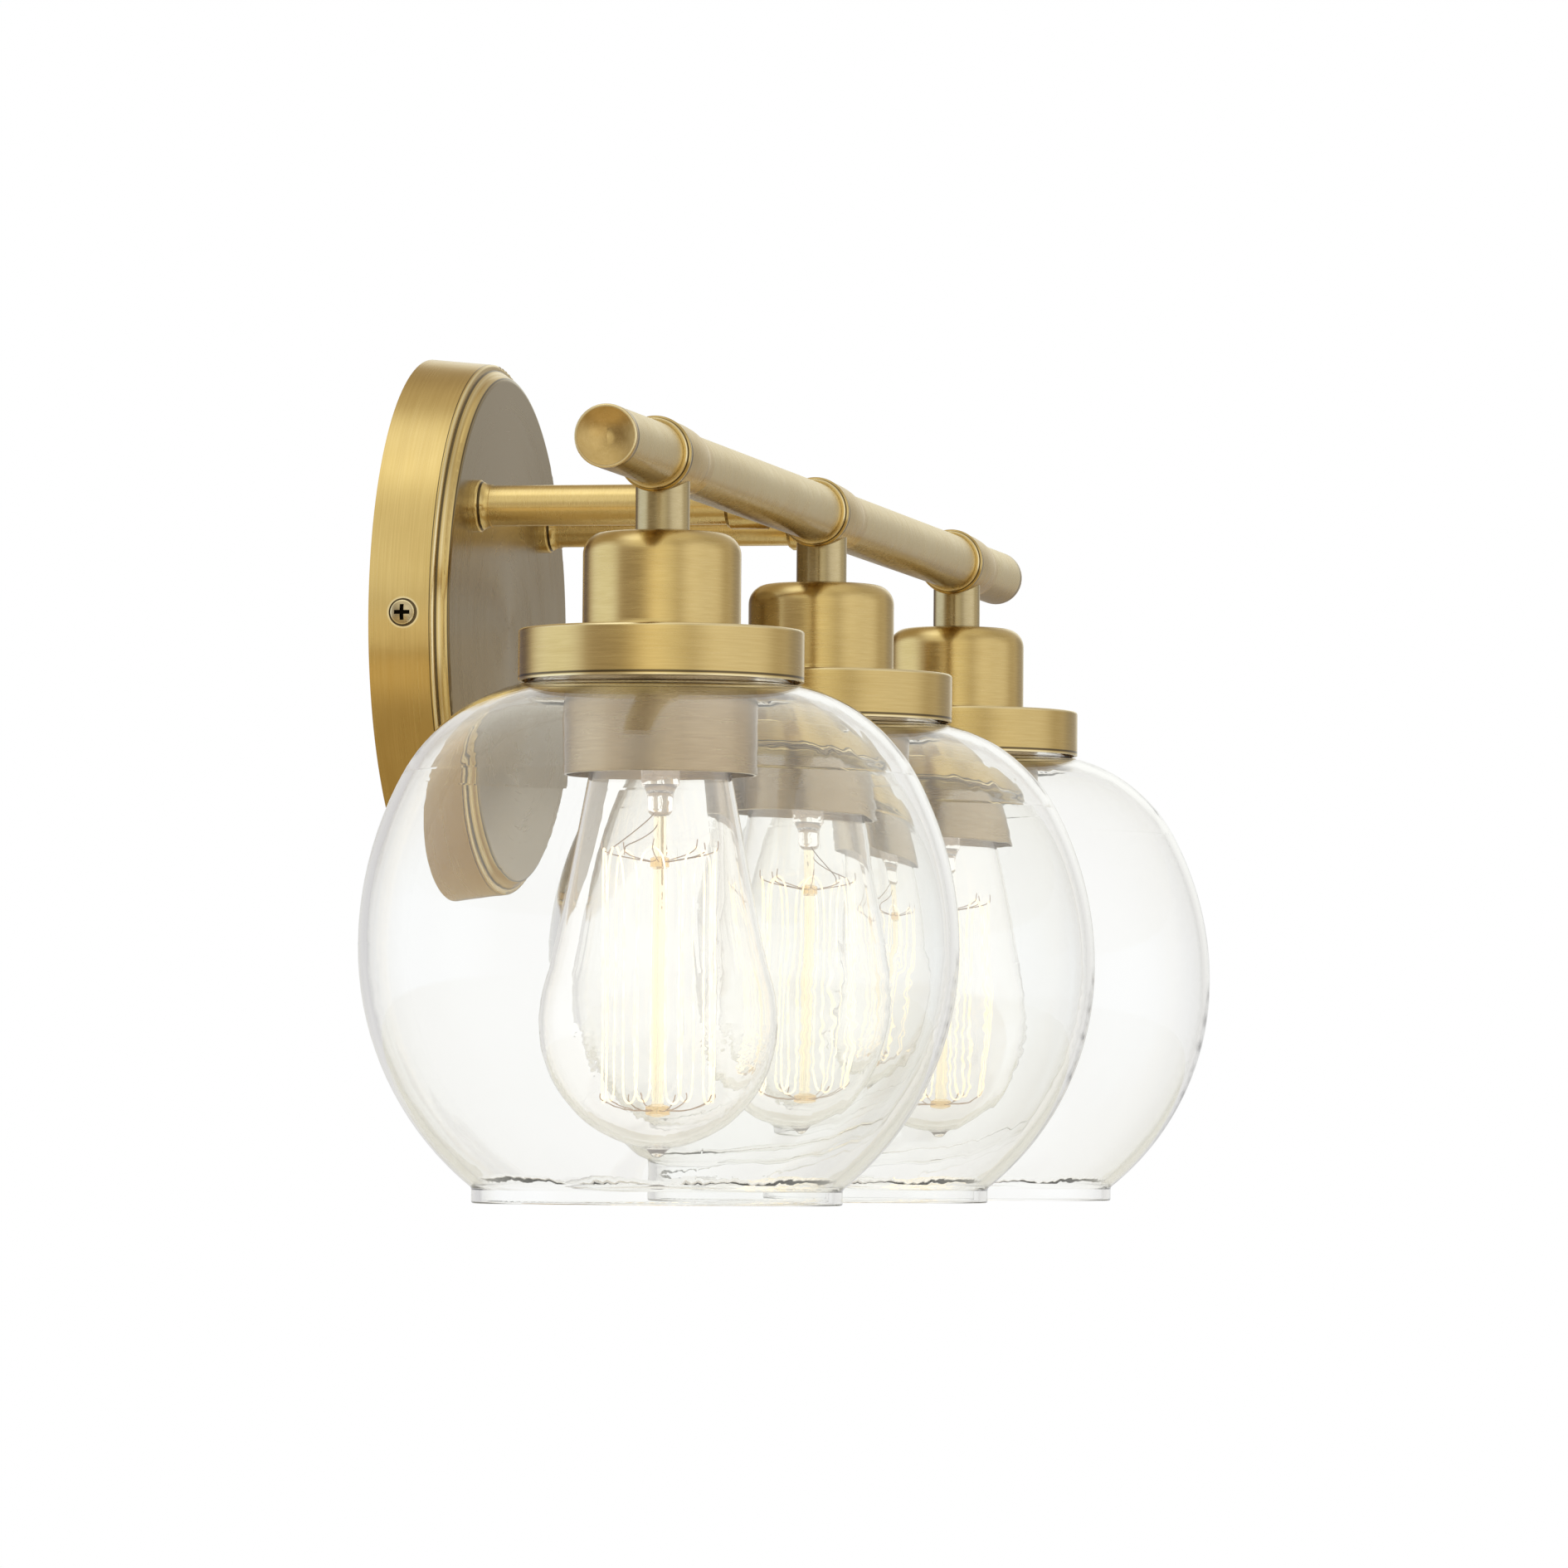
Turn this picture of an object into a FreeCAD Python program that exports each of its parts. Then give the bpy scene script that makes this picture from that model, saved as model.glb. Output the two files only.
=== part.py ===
import FreeCAD, Part
import math
import os
import Sketcher
from FreeCAD import Placement, Rotation, Vector

# Wall-mounted light bar: a round canopy carries two short arms, the arms carry a horizontal bar,
# and three lamps hang from the bar, each a clear globe around a filament bulb.
#
# Frame: the origin is the middle of the canopy on the wall plane. X runs along the bar, Z is up,
# and the wall is the plane Y = 0, so the light stands out towards -Y. Millimetres.

doc = FreeCAD.newDocument("light_bar")
sheet = doc.addObject("Spreadsheet::Sheet", "Sheet")
nodes = {}


# ---------------------------------------------------------------- driving dimensions

class Size:
    """A length together with the spreadsheet formula that it comes from."""

    def __init__(self, value, text):
        self.value = float(value)
        self.text = text

    def __add__(self, other):
        other = as_size(other)
        return Size(self.value + other.value, f"({self.text} + {other.text})")

    def __sub__(self, other):
        other = as_size(other)
        return Size(self.value - other.value, f"({self.text} - {other.text})")

    def __mul__(self, other):
        other = as_size(other)
        return Size(self.value * other.value, f"({self.text} * {other.text})")

    def __truediv__(self, other):
        other = as_size(other)
        return Size(self.value / other.value, f"({self.text} / {other.text})")

    def __neg__(self):
        return Size(-self.value, f"(0 - {self.text})")

    def __radd__(self, other):
        return as_size(other) + self

    def __rsub__(self, other):
        return as_size(other) - self

    def __rmul__(self, other):
        return as_size(other) * self


def as_size(number):
    if isinstance(number, Size):
        return number
    return Size(number, f"{float(number):.6f}" if number >= 0 else f"(0 - {abs(float(number)):.6f})")


def cell(alias, value, note):
    """Adds one row to the sheet and returns it as a Size."""
    row = cell.row
    cell.row += 1
    sheet.set(f"A{row}", note)
    sheet.set(f"B{row}", str(value))
    sheet.setAlias(f"B{row}", alias)
    return Size(value, f"Sheet.{alias}")


cell.row = 1

lamp_spacing = cell("lamp_spacing", 201.0, "distance between neighbouring lamp axes")
lamp_reach = cell("lamp_reach", 109.6, "lamp axis and bar axis out from the wall")
bar_height = cell("bar_height", 31.1, "bar and arm axes above the canopy centre")
bar_radius = cell("bar_radius", 8.0, "outside radius of the bar")
bar_wall = cell("bar_wall", 1.2, "wall of the bar tube")
bar_half = cell("bar_half", 266.0, "bar middle to the face of an end cap")
end_cap_rim = cell("end_cap_rim", 2.4, "thickness of the end cap outside the tube")

canopy_back = cell("canopy_back", 75.0, "canopy radius at the wall")
canopy_edge = cell("canopy_edge", 73.4, "canopy radius at the front edge of its side")
canopy_side = cell("canopy_side", 16.8, "depth of the canopy side")
canopy_ledge = cell("canopy_ledge", 71.6, "radius at the foot of the raised front")
canopy_face = cell("canopy_face", 69.4, "radius of the flat front")
canopy_deep = cell("canopy_deep", 21.0, "wall to the flat front")
canopy_skin = cell("canopy_skin", 1.0, "canopy sheet thickness")

arm_offset = cell("arm_offset", 41.1, "arm axis from the middle, along X")
arm_radius = cell("arm_radius", 5.6, "outside radius of an arm")
arm_wall = cell("arm_wall", 1.0, "wall of the arm tube")
arm_foot = cell("arm_foot", 7.2, "radius of the flared foot at the canopy")
arm_ferrule = cell("arm_ferrule", 6.9, "radius of the ferrule at the bar")
ferrule_long = cell("ferrule_long", 9.6, "ferrule length to the bar surface")

knuckle_bead = cell("knuckle_bead", 9.65, "radius of the knuckle bead")
knuckle_band = cell("knuckle_band", 9.2, "radius of the knuckle band")
knuckle_left = cell("knuckle_left", 12.0, "lamp axis to the beaded end of a knuckle")
knuckle_right = cell("knuckle_right", 24.0, "lamp axis to the tapered end of a knuckle")

stem_radius = cell("stem_radius", 6.92, "outside radius of the stem")
nipple_radius = cell("nipple_radius", 5.0, "outside radius of the hollow threaded rods")
nipple_bore = cell("nipple_bore", 3.5, "bore of the hollow threaded rods")
cup_radius = cell("cup_radius", 20.1, "outside radius of the socket cup")
cup_flare = cell("cup_flare", 20.7, "radius of the cup lip")
cup_top = cell("cup_top", 11.6, "height of the cup top")
cup_bottom = cell("cup_bottom", -13.1, "height of the cup lip and of the collar top")
cup_corner = cell("cup_corner", 5.5, "radius of the cup shoulder")
cup_skin = cell("cup_skin", 0.9, "sheet thickness of cup, collar and sleeve")
collar_radius = cell("collar_radius", 36.3, "outside radius of the collar")
collar_bottom = cell("collar_bottom", -26.2, "height of the collar's open edge")
sleeve_radius = cell("sleeve_radius", 24.7, "outside radius of the sleeve inside the globe")
sleeve_bottom = cell("sleeve_bottom", -50.0, "height of the sleeve's open edge")
gasket_thick = cell("gasket_thick", 1.5, "thickness of the gasket over the globe")

globe_radius = cell("globe_radius", 76.2, "outside radius of the globe")
globe_middle = cell("globe_middle", -93.5, "height of the globe's widest circle")
globe_wall = cell("globe_wall", 2.2, "glass thickness of the globe")
globe_rim = cell("globe_rim", -158.6, "height of the globe's open rim")
rim_radius = cell("rim_radius", 47.0, "outside radius of the rim")
neck_radius = cell("neck_radius", 33.5, "outside radius of the globe neck in the collar")

holder_radius = cell("holder_radius", 18.0, "outside radius of the porcelain lampholder")
holder_bottom = cell("holder_bottom", -38.0, "height of the lampholder mouth")
chamber_top = cell("chamber_top", 3.0, "ceiling of the lampholder's wiring chamber")
rivet_offset = cell("rivet_offset", 9.0, "neutral rivet from the lamp axis")
shell_bore = cell("shell_bore", 13.35, "smallest inside radius of the screw shell")
cap_radius = cell("cap_radius", 13.0, "largest radius of the bulb cap thread")
thread_pitch = cell("thread_pitch", 3.63, "pitch of the bulb thread")
bulb_radius = cell("bulb_radius", 30.3, "largest radius of the bulb")
bulb_middle = cell("bulb_middle", -113.0, "height of the bulb's widest circle")
bulb_skin = cell("bulb_skin", 0.9, "glass thickness of the bulb")
bulb_tip = cell("bulb_tip", -146.9, "height of the bulb's lowest point")

cage_radius = cell("cage_radius", 14.3, "radius of the filament cage")
cage_top = cell("cage_top", -70.0, "height of the upper ends of the filament strands")
cage_bottom = cell("cage_bottom", -131.0, "height of the lower ends of the filament strands")
filament_thick = cell("filament_thick", 0.22, "radius of the filament")
support_thick = cell("support_thick", 0.25, "radius of the support wires")

screw_height = cell("screw_height", 9.4, "side screws out from the wall")
screw_head = cell("screw_head", 3.3, "radius of the side screw heads")
side_thread = cell("side_thread", 2.0, "radius of the side screw threads")
screw_seat = cell("screw_seat", 73.85, "flat seat under a side screw head, out from the middle")
screw_room = cell("screw_room", 0.45, "gap round a side screw head in its seat")
bolt_spacing = cell("bolt_spacing", 88.9, "distance between the wall bracket slots")
bolt_slot = cell("bolt_slot", 14.0, "length of a wall bracket slot")
bolt_hole = cell("bolt_hole", 2.4, "half the width of a wall bracket slot")
bracket_thick = cell("bracket_thick", 2.0, "thickness of the bracket strip")
bracket_half = cell("bracket_half", 71.0, "bracket middle to the outer face of an end tab")
bracket_high = cell("bracket_high", 20.0, "height of the bracket strip")
lead_radius = cell("lead_radius", 0.85, "outside radius of an insulated lead")
doc.recompute()

HAIRPINS = 8                # pairs of filament legs that share a bend below
HAIRPIN_HALF = 8.5          # degrees from the middle of a hairpin to each leg
LOW_BEND = 2.0              # radius of the filament's bends below
HIGH_BEND = 1.8             # radius of the filament's bends above
CAGE_TURNS = {1: 140.5, 2: 240.0, 3: 140.5}     # degrees about Z to the gap between the two ends

CONNECTOR_DEEP = -10.0      # connectors and leads in the canopy, out from the wall
HOT_LEVEL = 54.0            # height of the hot connector
NEUTRAL_LEVEL = -24.0       # height of the neutral connector
LEAD_BEND = 3.5
LAST_BEND = 2.4             # bend of a neutral lead over its rivet
LEAD_PITCH = 1.05           # leads that share a tube lie this far from its axis
CONTACT_TOP = -2.0          # top of the rivets in the lampholder's chamber


# ---------------------------------------------------------------- helpers

UP = Rotation()
TO_FRONT = Rotation(Vector(1, 0, 0), 90)    # local Z becomes -Y, away from the wall
TO_RIGHT = Rotation(Vector(0, 1, 0), 90)    # local Z becomes +X, along the bar
TO_LEFT = Rotation(Vector(0, 1, 0), -90)    # local Z becomes -X


def place(piece, x=0, y=0, z=0, turn=UP):
    """Puts a piece at a spot whose coordinates stay bound to the sheet."""
    spot = [as_size(x), as_size(y), as_size(z)]
    piece.Placement = Placement(Vector(*[part.value for part in spot]), turn)
    for axis, part in zip("xyz", spot):
        if "Sheet" in part.text:
            piece.setExpression(f".Placement.Base.{axis}", part.text)
    return piece


def bind(piece, **sizes):
    for name, size in sizes.items():
        size = as_size(size)
        setattr(piece, name, size.value)
        if "Sheet" in size.text:
            piece.setExpression(name, size.text)
    return piece


def keep(label, piece):
    """Names a finished sub-part; its label is also the name of its file."""
    piece.Label = label
    nodes[label] = piece
    return piece


def origin_plane(body, role):
    return next(item for item in body.Origin.OriginFeatures if item.Role == role)


def arc_centre(start, end, radius, way):
    """The centre of the short arc between two outline points; way +1 runs it counter-clockwise."""
    chord = end - start
    middle = (start + end) / 2
    normal = Vector(-chord.y, chord.x, 0) / chord.Length
    rise = math.sqrt(max(radius ** 2 - (chord.Length / 2) ** 2, 0.0))
    return middle + normal * (rise * way)


def dome(half_width, rise):
    """The radius of a cap of that half width and rise, whose arc crosses the axis squarely."""
    half_width = as_size(half_width)
    return (half_width * half_width + rise * rise) / (2 * rise)


def draw_outline(sketch, outline):
    """Draws a closed outline with every corner and arc radius bound to the sheet.

    outline holds (radius, height) corners. A corner with two more items, (radius, height, arc,
    way), is reached from the corner before it along an arc of that radius, which runs
    counter-clockwise for a way of +1 and clockwise for -1.
    """
    corners = [(as_size(item[0]), as_size(item[1])) for item in outline]
    spots = [Vector(across.value, along.value, 0) for across, along in corners]
    ends = []
    for index, item in enumerate(outline):
        first = spots[index - 1]
        last = spots[index]
        if len(item) == 2:
            ends.append((sketch.addGeometry(Part.LineSegment(first, last)), 1, 2))
            continue
        radius = as_size(item[2])
        centre = arc_centre(first, last, radius.value, item[3])
        circle = Part.Circle(centre, Vector(0, 0, 1), radius.value)
        angles = [math.atan2(spot.y - centre.y, spot.x - centre.x) for spot in (first, last)]
        if item[3] < 0:
            angles.reverse()
        edge = sketch.addGeometry(Part.ArcOfCircle(circle, angles[0], angles[1]))
        ends.append((edge, 1, 2) if item[3] > 0 else (edge, 2, 1))
        number = sketch.addConstraint(Sketcher.Constraint("Radius", edge, radius.value))
        if "Sheet" in radius.text:
            sketch.setExpression(f"Constraints[{number}]", radius.text)
    for index, corner in enumerate(corners):
        edge, _, tail = ends[index]
        after, head, _ = ends[(index + 1) % len(ends)]
        sketch.addConstraint(Sketcher.Constraint("Coincident", edge, tail, after, head))
        for kind, size in zip(("DistanceX", "DistanceY"), corner):
            number = sketch.addConstraint(Sketcher.Constraint(kind, -1, 1, edge, tail, size.value))
            if "Sheet" in size.text:
                sketch.setExpression(f"Constraints[{number}]", size.text)


def turned(name, outline):
    """A body turned about its own Z axis from a (radius, height) outline."""
    body = doc.addObject("PartDesign::Body", name)
    sketch = body.newObject("Sketcher::SketchObject", name + "_outline")
    sketch.AttachmentSupport = [(origin_plane(body, "XZ_Plane"), "")]
    sketch.MapMode = "FlatFace"
    draw_outline(sketch, outline)
    turn = body.newObject("PartDesign::Revolution", name + "_turn")
    turn.Profile = sketch
    turn.ReferenceAxis = (sketch, ["V_Axis"])
    turn.Angle = 360
    doc.recompute()
    return body


def tube(name, outer, inner, low, high):
    return turned(name, [(inner, low), (outer, low), (outer, high), (inner, high)])


def rod(name, radius, length):
    return bind(doc.addObject("Part::Cylinder", name), Radius=radius, Height=length)


def block(name, long, wide, high):
    return bind(doc.addObject("Part::Box", name), Length=long, Width=wide, Height=high)


def hexagon(name, across_flats, length):
    prism = doc.addObject("Part::Prism", name)
    prism.Polygon = 6
    return bind(prism, Circumradius=as_size(across_flats) / math.sqrt(3), Height=length)


def cut(name, base, *tools):
    if len(tools) > 1:
        joined = doc.addObject("Part::MultiFuse", name + "_tools")
        joined.Shapes = list(tools)
        tools = [joined]
    result = doc.addObject("Part::Cut", name)
    result.Base = base
    result.Tool = tools[0]
    return result


def fuse(name, *pieces):
    result = doc.addObject("Part::MultiFuse", name)
    result.Shapes = list(pieces)
    return result


def group(name, pieces):
    """Several separate solids that share one node."""
    result = doc.addObject("Part::Compound", name)
    result.Links = pieces
    return result


def wire_through(points, bends):
    """Straight runs through the points, joined by tangent arcs with the given radii."""
    edges = []
    start = points[0]
    for before, corner, after, bend in zip(points, points[1:], points[2:], bends):
        into = (corner - before).normalize()
        out = (after - corner).normalize()
        turn = into.getAngle(out)
        reach = bend * math.tan(turn / 2)
        arc_start = corner - into * reach
        arc_end = corner + out * reach
        inward = (out - into).normalize()
        middle = corner + inward * (bend / math.cos(turn / 2) - bend)
        edges.append(Part.LineSegment(start, arc_start).toShape())
        edges.append(Part.Arc(arc_start, middle, arc_end).toShape())
        start = arc_end
    edges.append(Part.LineSegment(start, points[-1]).toShape())
    return Part.Wire(edges)


def swept(name, path, radius):
    """A round wire along a path; its volume is compared with its section times its length."""
    start = path.Vertexes[0].Point
    heading = path.Edges[0].tangentAt(path.Edges[0].FirstParameter)
    section = Part.Wire(Part.Circle(start, heading, radius).toShape())
    solid = path.makePipeShell([section], True, True)
    expected = math.pi * radius ** 2 * path.Length
    if abs(solid.Volume / expected - 1) > 0.02:
        raise ValueError(f"{name}: volume {solid.Volume:.2f}, expected {expected:.2f}")
    piece = doc.addObject("Part::Feature", name)
    piece.Shape = solid
    return piece


# ---------------------------------------------------------------- wall bracket and canopy

def make_wall_bracket():
    """A steel strip with two slots for the wall box and a tab at each end for a side screw."""
    low = -(bracket_high / 2)
    strip = place(block("bracket_strip", bracket_half * 2, bracket_thick, bracket_high),
                  -bracket_half, -bracket_thick, low)
    tab_deep = screw_height + 5.5
    solids = [strip]
    holes = []
    for side, name in ((-1, "left"), (1, "right")):
        tab_x = -bracket_half if side < 0 else bracket_half - bracket_thick
        solids.append(place(block(f"bracket_tab_{name}", bracket_thick, tab_deep, 12.0),
                            tab_x, -tab_deep, -6.0))
        tap = rod(f"bracket_tap_{name}", side_thread + 0.06, 12.0)
        holes.append(place(tap, (bracket_half + 4) * side, -screw_height, 0,
                           TO_RIGHT if side < 0 else TO_LEFT))
        slot_x = bolt_spacing / 2 * side
        straight = bolt_slot - bolt_hole * 2
        holes.append(place(block(f"bracket_slot_{name}", straight, 6.0, bolt_hole * 2),
                           slot_x - straight / 2, -4.0, -bolt_hole))
        for end in (-1, 1):
            round_end = rod(f"bracket_slot_end_{name}_{end + 1}", bolt_hole, 6.0)
            holes.append(place(round_end, slot_x + straight / 2 * end, 2.0, 0, TO_FRONT))
    holes.append(place(rod("bracket_centre_hole", 5.1, 6.0), 0, 2.0, 0, TO_FRONT))
    holes.append(place(rod("bracket_ground_tap", 2.0, 6.0), 20.0, 2.0, 0, TO_FRONT))
    keep("wall_bracket", cut("wall_bracket", fuse("bracket_blank", *solids), *holes))


def make_canopy():
    """A spun pan: tapered side, a ledge, and a raised flat front with a rounded edge."""
    skin = canopy_skin
    ledge_deep = canopy_side + 0.9
    face_round = 1.8
    pan = turned("canopy_pan", [
        (canopy_back, 0),
        (canopy_edge, canopy_side),
        (canopy_edge - 1.0, ledge_deep - 0.1, 1.0, 1),
        (canopy_ledge + 0.3, ledge_deep - 0.1),
        (canopy_ledge, ledge_deep + 0.25, 0.32, -1),
        (canopy_face + face_round * 0.55, canopy_deep - face_round),
        (canopy_face - 1.3, canopy_deep, 2.1, 1),
        (0, canopy_deep),
        (0, canopy_deep - skin),
        (canopy_face - 1.8, canopy_deep - skin),
        (canopy_ledge - 1.2, ledge_deep - skin * 0.7),
        (canopy_edge - 1.1, canopy_side - 0.4),
        (canopy_back - skin, 0),
    ])
    place(pan, 0, 0, 0, TO_FRONT)
    holes = []
    for side, name in ((-1, "left"), (1, "right")):
        hole = rod(f"canopy_arm_hole_{name}", nipple_radius + 0.1, 8.0)
        holes.append(place(hole, arm_offset * side, -canopy_deep + 4.0, bar_height, TO_FRONT))
        seat = rod(f"canopy_screw_seat_{name}", screw_head + screw_room, 4.0)
        holes.append(place(seat, screw_seat * side, -screw_height, 0,
                           TO_RIGHT if side > 0 else TO_LEFT))
    side_hole = rod("canopy_side_hole", side_thread + 0.25, canopy_back * 2 + 10.0)
    holes.append(place(side_hole, -canopy_back - 5.0, -screw_height, 0, TO_RIGHT))
    keep("canopy", cut("canopy", pan, *holes))


def make_side_screw(label, side):
    """A pan-headed cross-recess screw; its local Z points out of the canopy."""
    name = label + "_blank"
    brim = 1.0
    crown = 0.75
    recess_long = 4.3
    recess_wide = 1.1
    recess_floor = 0.4
    blank = turned(name, [
        (0, -6.5), (side_thread - 0.45, -6.5), (side_thread, -6.0), (side_thread, 0),
        (screw_head, 0), (screw_head, brim), (0, brim + crown, dome(screw_head, crown), 1)])
    arms = []
    for number, (wide, tall) in enumerate(((recess_long, recess_wide), (recess_wide, recess_long))):
        arm = block(f"{name}_recess_{number}", wide, tall, 3.0)
        arms.append(place(arm, -wide / 2, -tall / 2, recess_floor))
    screw = cut(label, blank, *arms)
    place(screw, (screw_seat + 0.05) * side, -screw_height, 0, TO_RIGHT if side > 0 else TO_LEFT)
    keep(label, screw)


def make_ground_screw():
    blank = turned("ground_screw_blank", [
        (0, -1.8), (1.9, -1.8), (1.9, 1.8), (4.6, 1.8), (4.6, 3.4), (4.0, 4.0), (0, 4.0)])
    slot = place(block("ground_screw_slot", 9.6, 1.0, 2.0), -4.8, -0.5, 2.8)
    screw = cut("ground_screw", blank, slot)
    place(screw, 20.0, -bracket_thick, 0, TO_FRONT)
    keep("ground_screw", screw)


# ---------------------------------------------------------------- arms and bar

def make_arms():
    """Two tubes from the canopy to the bar, each with a flared foot and a ferrule."""
    feet, ferrules, nipples, nuts = [], [], [], []
    bar_face = lamp_reach - bar_radius
    for side, name in ((-1, "left"), (1, "right")):
        across = arm_offset * side
        label = f"arm_{name}"
        length = bar_face - canopy_deep + 1.5
        blank = tube(f"{label}_tube", arm_radius, arm_radius - arm_wall, 0, length)
        place(blank, across, -canopy_deep, bar_height, TO_FRONT)
        saddle = place(rod(f"{label}_saddle", bar_radius + 0.03, 40.0),
                       across - 20.0, -lamp_reach, bar_height, TO_RIGHT)
        keep(label, cut(label, blank, saddle))

        foot = turned(f"{label}_foot", [
            (arm_radius + 0.05, 0), (arm_foot, 0), (arm_foot, 1.6), (arm_foot - 0.6, 2.2, 0.6, 1),
            (arm_foot - 0.8, 2.2), (arm_foot - 0.8, 2.6), (arm_foot - 0.6, 2.8),
            (arm_radius + 0.3, 5.0, 3.2, -1), (arm_radius + 0.05, 5.0)])
        feet.append(place(foot, across, -canopy_deep, bar_height, TO_FRONT))

        sleeve = turned(f"{label}_sleeve", [
            (arm_radius + 0.05, 0), (arm_radius + 0.5, 0), (arm_ferrule, 1.1),
            (arm_ferrule, ferrule_long + 1.5), (arm_radius + 0.05, ferrule_long + 1.5)])
        place(sleeve, across, ferrule_long - bar_face, bar_height, TO_FRONT)
        bite = place(rod(f"{label}_bite", bar_radius + 0.03, 40.0),
                     across - 20.0, -lamp_reach, bar_height, TO_RIGHT)
        ferrules.append(cut(f"{label}_ferrule", sleeve, bite))

        nipple = tube(f"{label}_nipple", arm_radius - arm_wall, nipple_bore, 0, 14.0)
        thick_end = tube(f"{label}_thread", nipple_radius, nipple_bore, -5.5, 0)
        nipples.append(place(fuse(f"{label}_rod", nipple, thick_end),
                             across, -canopy_deep, bar_height, TO_FRONT))
        nut = cut(f"{label}_nut", hexagon(f"{label}_hex", 14.0, 3.0),
                  place(rod(f"{label}_nut_bore", nipple_radius, 5.0), 0, 0, -1.0))
        nuts.append(place(nut, across, canopy_skin - canopy_deep + 3.0, bar_height, TO_FRONT))
    keep("arm_feet", group("arm_feet", feet))
    keep("arm_ferrules", group("arm_ferrules", ferrules))
    keep("arm_nipples", group("arm_nipples", nipples))
    keep("arm_lock_nuts", group("arm_lock_nuts", nuts))


def make_bar():
    """The horizontal tube, its openings for the leads, and a dished cap in each end."""
    half_tube = bar_half - end_cap_rim
    blank = tube("bar_blank", bar_radius, bar_radius - bar_wall, -half_tube, half_tube)
    place(blank, 0, -lamp_reach, bar_height, TO_RIGHT)
    holes = []
    for side in (-1, 1):
        hole = rod(f"bar_arm_hole_{side + 1}", arm_radius - arm_wall, 8.0)
        holes.append(place(hole, arm_offset * side, 11.0 - lamp_reach, bar_height, TO_FRONT))
    for index in (-1, 0, 1):
        hole = rod(f"bar_stem_hole_{index + 1}", nipple_radius + 0.1, 9.0)
        holes.append(place(hole, lamp_spacing * index, -lamp_reach, bar_height - 12.0))
    keep("bar_tube", cut("bar_tube", blank, *holes))

    caps = []
    dish = 1.7
    for turn, name, side in ((TO_LEFT, "left", -1), (TO_RIGHT, "right", 1)):
        lip = bar_radius - 0.75
        cap = turned(f"bar_cap_{name}", [
            (0, -7.0), (bar_radius - bar_wall - 0.05, -7.0), (bar_radius - bar_wall - 0.05, 0),
            (bar_radius, 0), (bar_radius, end_cap_rim - 0.4), (bar_radius - 0.4, end_cap_rim, 0.4, 1),
            (lip, end_cap_rim), (0, end_cap_rim - dish, dome(lip, dish), -1)])
        caps.append(place(cap, half_tube * side, -lamp_reach, bar_height, turn))
    keep("bar_end_caps", group("bar_end_caps", caps))


def make_knuckle(label, lamp_x):
    """A sleeve on the bar above a lamp: twin beads at one end, then a band that tapers away."""
    bore = bar_radius + 0.03
    start = -knuckle_left
    blank = turned(f"{label}_blank", [
        (bore, start),
        (bar_radius + 0.75, start),
        (bar_radius + 1.0, start + 0.5, 0.6, 1),
        (bar_radius + 0.75, start + 1.0, 0.6, 1),
        (bar_radius + 0.5, start + 1.0),
        (bar_radius + 0.5, start + 1.4),
        (knuckle_bead - 0.5, start + 1.4),
        (knuckle_bead, start + 2.3, 1.1, 1),
        (knuckle_bead - 0.28, start + 3.5, 2.0, 1),
        (knuckle_band + 0.08, start + 4.2, 3.0, -1),
        (knuckle_band - 0.3, 14.0, 260.0, 1),
        (knuckle_band - 0.42, 14.0),
        (bar_radius + 0.12, knuckle_right, 120.0, -1),
        (bore, knuckle_right)])
    place(blank, lamp_x, -lamp_reach, bar_height, TO_RIGHT)
    hole = rod(f"{label}_hole", nipple_radius + 0.1, 9.0)
    place(hole, lamp_x, -lamp_reach, bar_height - 13.0)
    keep(label, cut(label, blank, hole))


# ---------------------------------------------------------------- lamps

def make_stem(label, lamp_x):
    """The short tube between knuckle and cup, its top cut to the knuckle's outside."""
    blank = tube(f"{label}_tube", stem_radius, nipple_radius + 0.1, cup_top, bar_height)
    place(blank, lamp_x, -lamp_reach, 0)
    start = -knuckle_left
    seat = turned(f"{label}_seat", [
        (0, start), (knuckle_bead + 0.02, start), (knuckle_bead + 0.02, start + 4.2),
        (knuckle_band + 0.1, start + 4.3), (knuckle_band - 0.28, 14.0, 260.0, 1), (0, 14.0)])
    place(seat, lamp_x, -lamp_reach, bar_height, TO_RIGHT)
    keep(label, cut(label, blank, seat))


def make_cup(label, lamp_x):
    """The socket cup: a spun bell with a rounded shoulder and a slightly flared lip."""
    inner = cup_radius - cup_skin
    corner = cup_corner - cup_skin
    flare_high = 2.0
    cup = turned(label, [
        (nipple_radius + 0.1, cup_top),
        (cup_radius - cup_corner, cup_top),
        (cup_radius, cup_top - cup_corner, cup_corner, -1),
        (cup_radius, cup_bottom + flare_high),
        (cup_flare, cup_bottom, 3.7, 1),
        (cup_flare - cup_skin, cup_bottom),
        (inner, cup_bottom + flare_high, 3.7, -1),
        (inner, cup_top - cup_corner),
        (inner - corner, cup_top - cup_skin, corner, 1),
        (nipple_radius + 0.1, cup_top - cup_skin)])
    keep(label, place(cup, lamp_x, -lamp_reach, 0))


def make_collar(label, lamp_x):
    """The shallow cap over the globe's neck."""
    inner = collar_radius - cup_skin
    edge = 0.8
    collar = turned(label, [
        (holder_radius + 1.0, cup_bottom),
        (collar_radius - edge, cup_bottom),
        (collar_radius, cup_bottom - edge, edge, -1),
        (collar_radius, collar_bottom),
        (inner, collar_bottom),
        (inner, cup_bottom - cup_skin - 0.3),
        (inner - 0.3, cup_bottom - cup_skin, 0.3, 1),
        (holder_radius + 1.0, cup_bottom - cup_skin)])
    keep(label, place(collar, lamp_x, -lamp_reach, 0))


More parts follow.
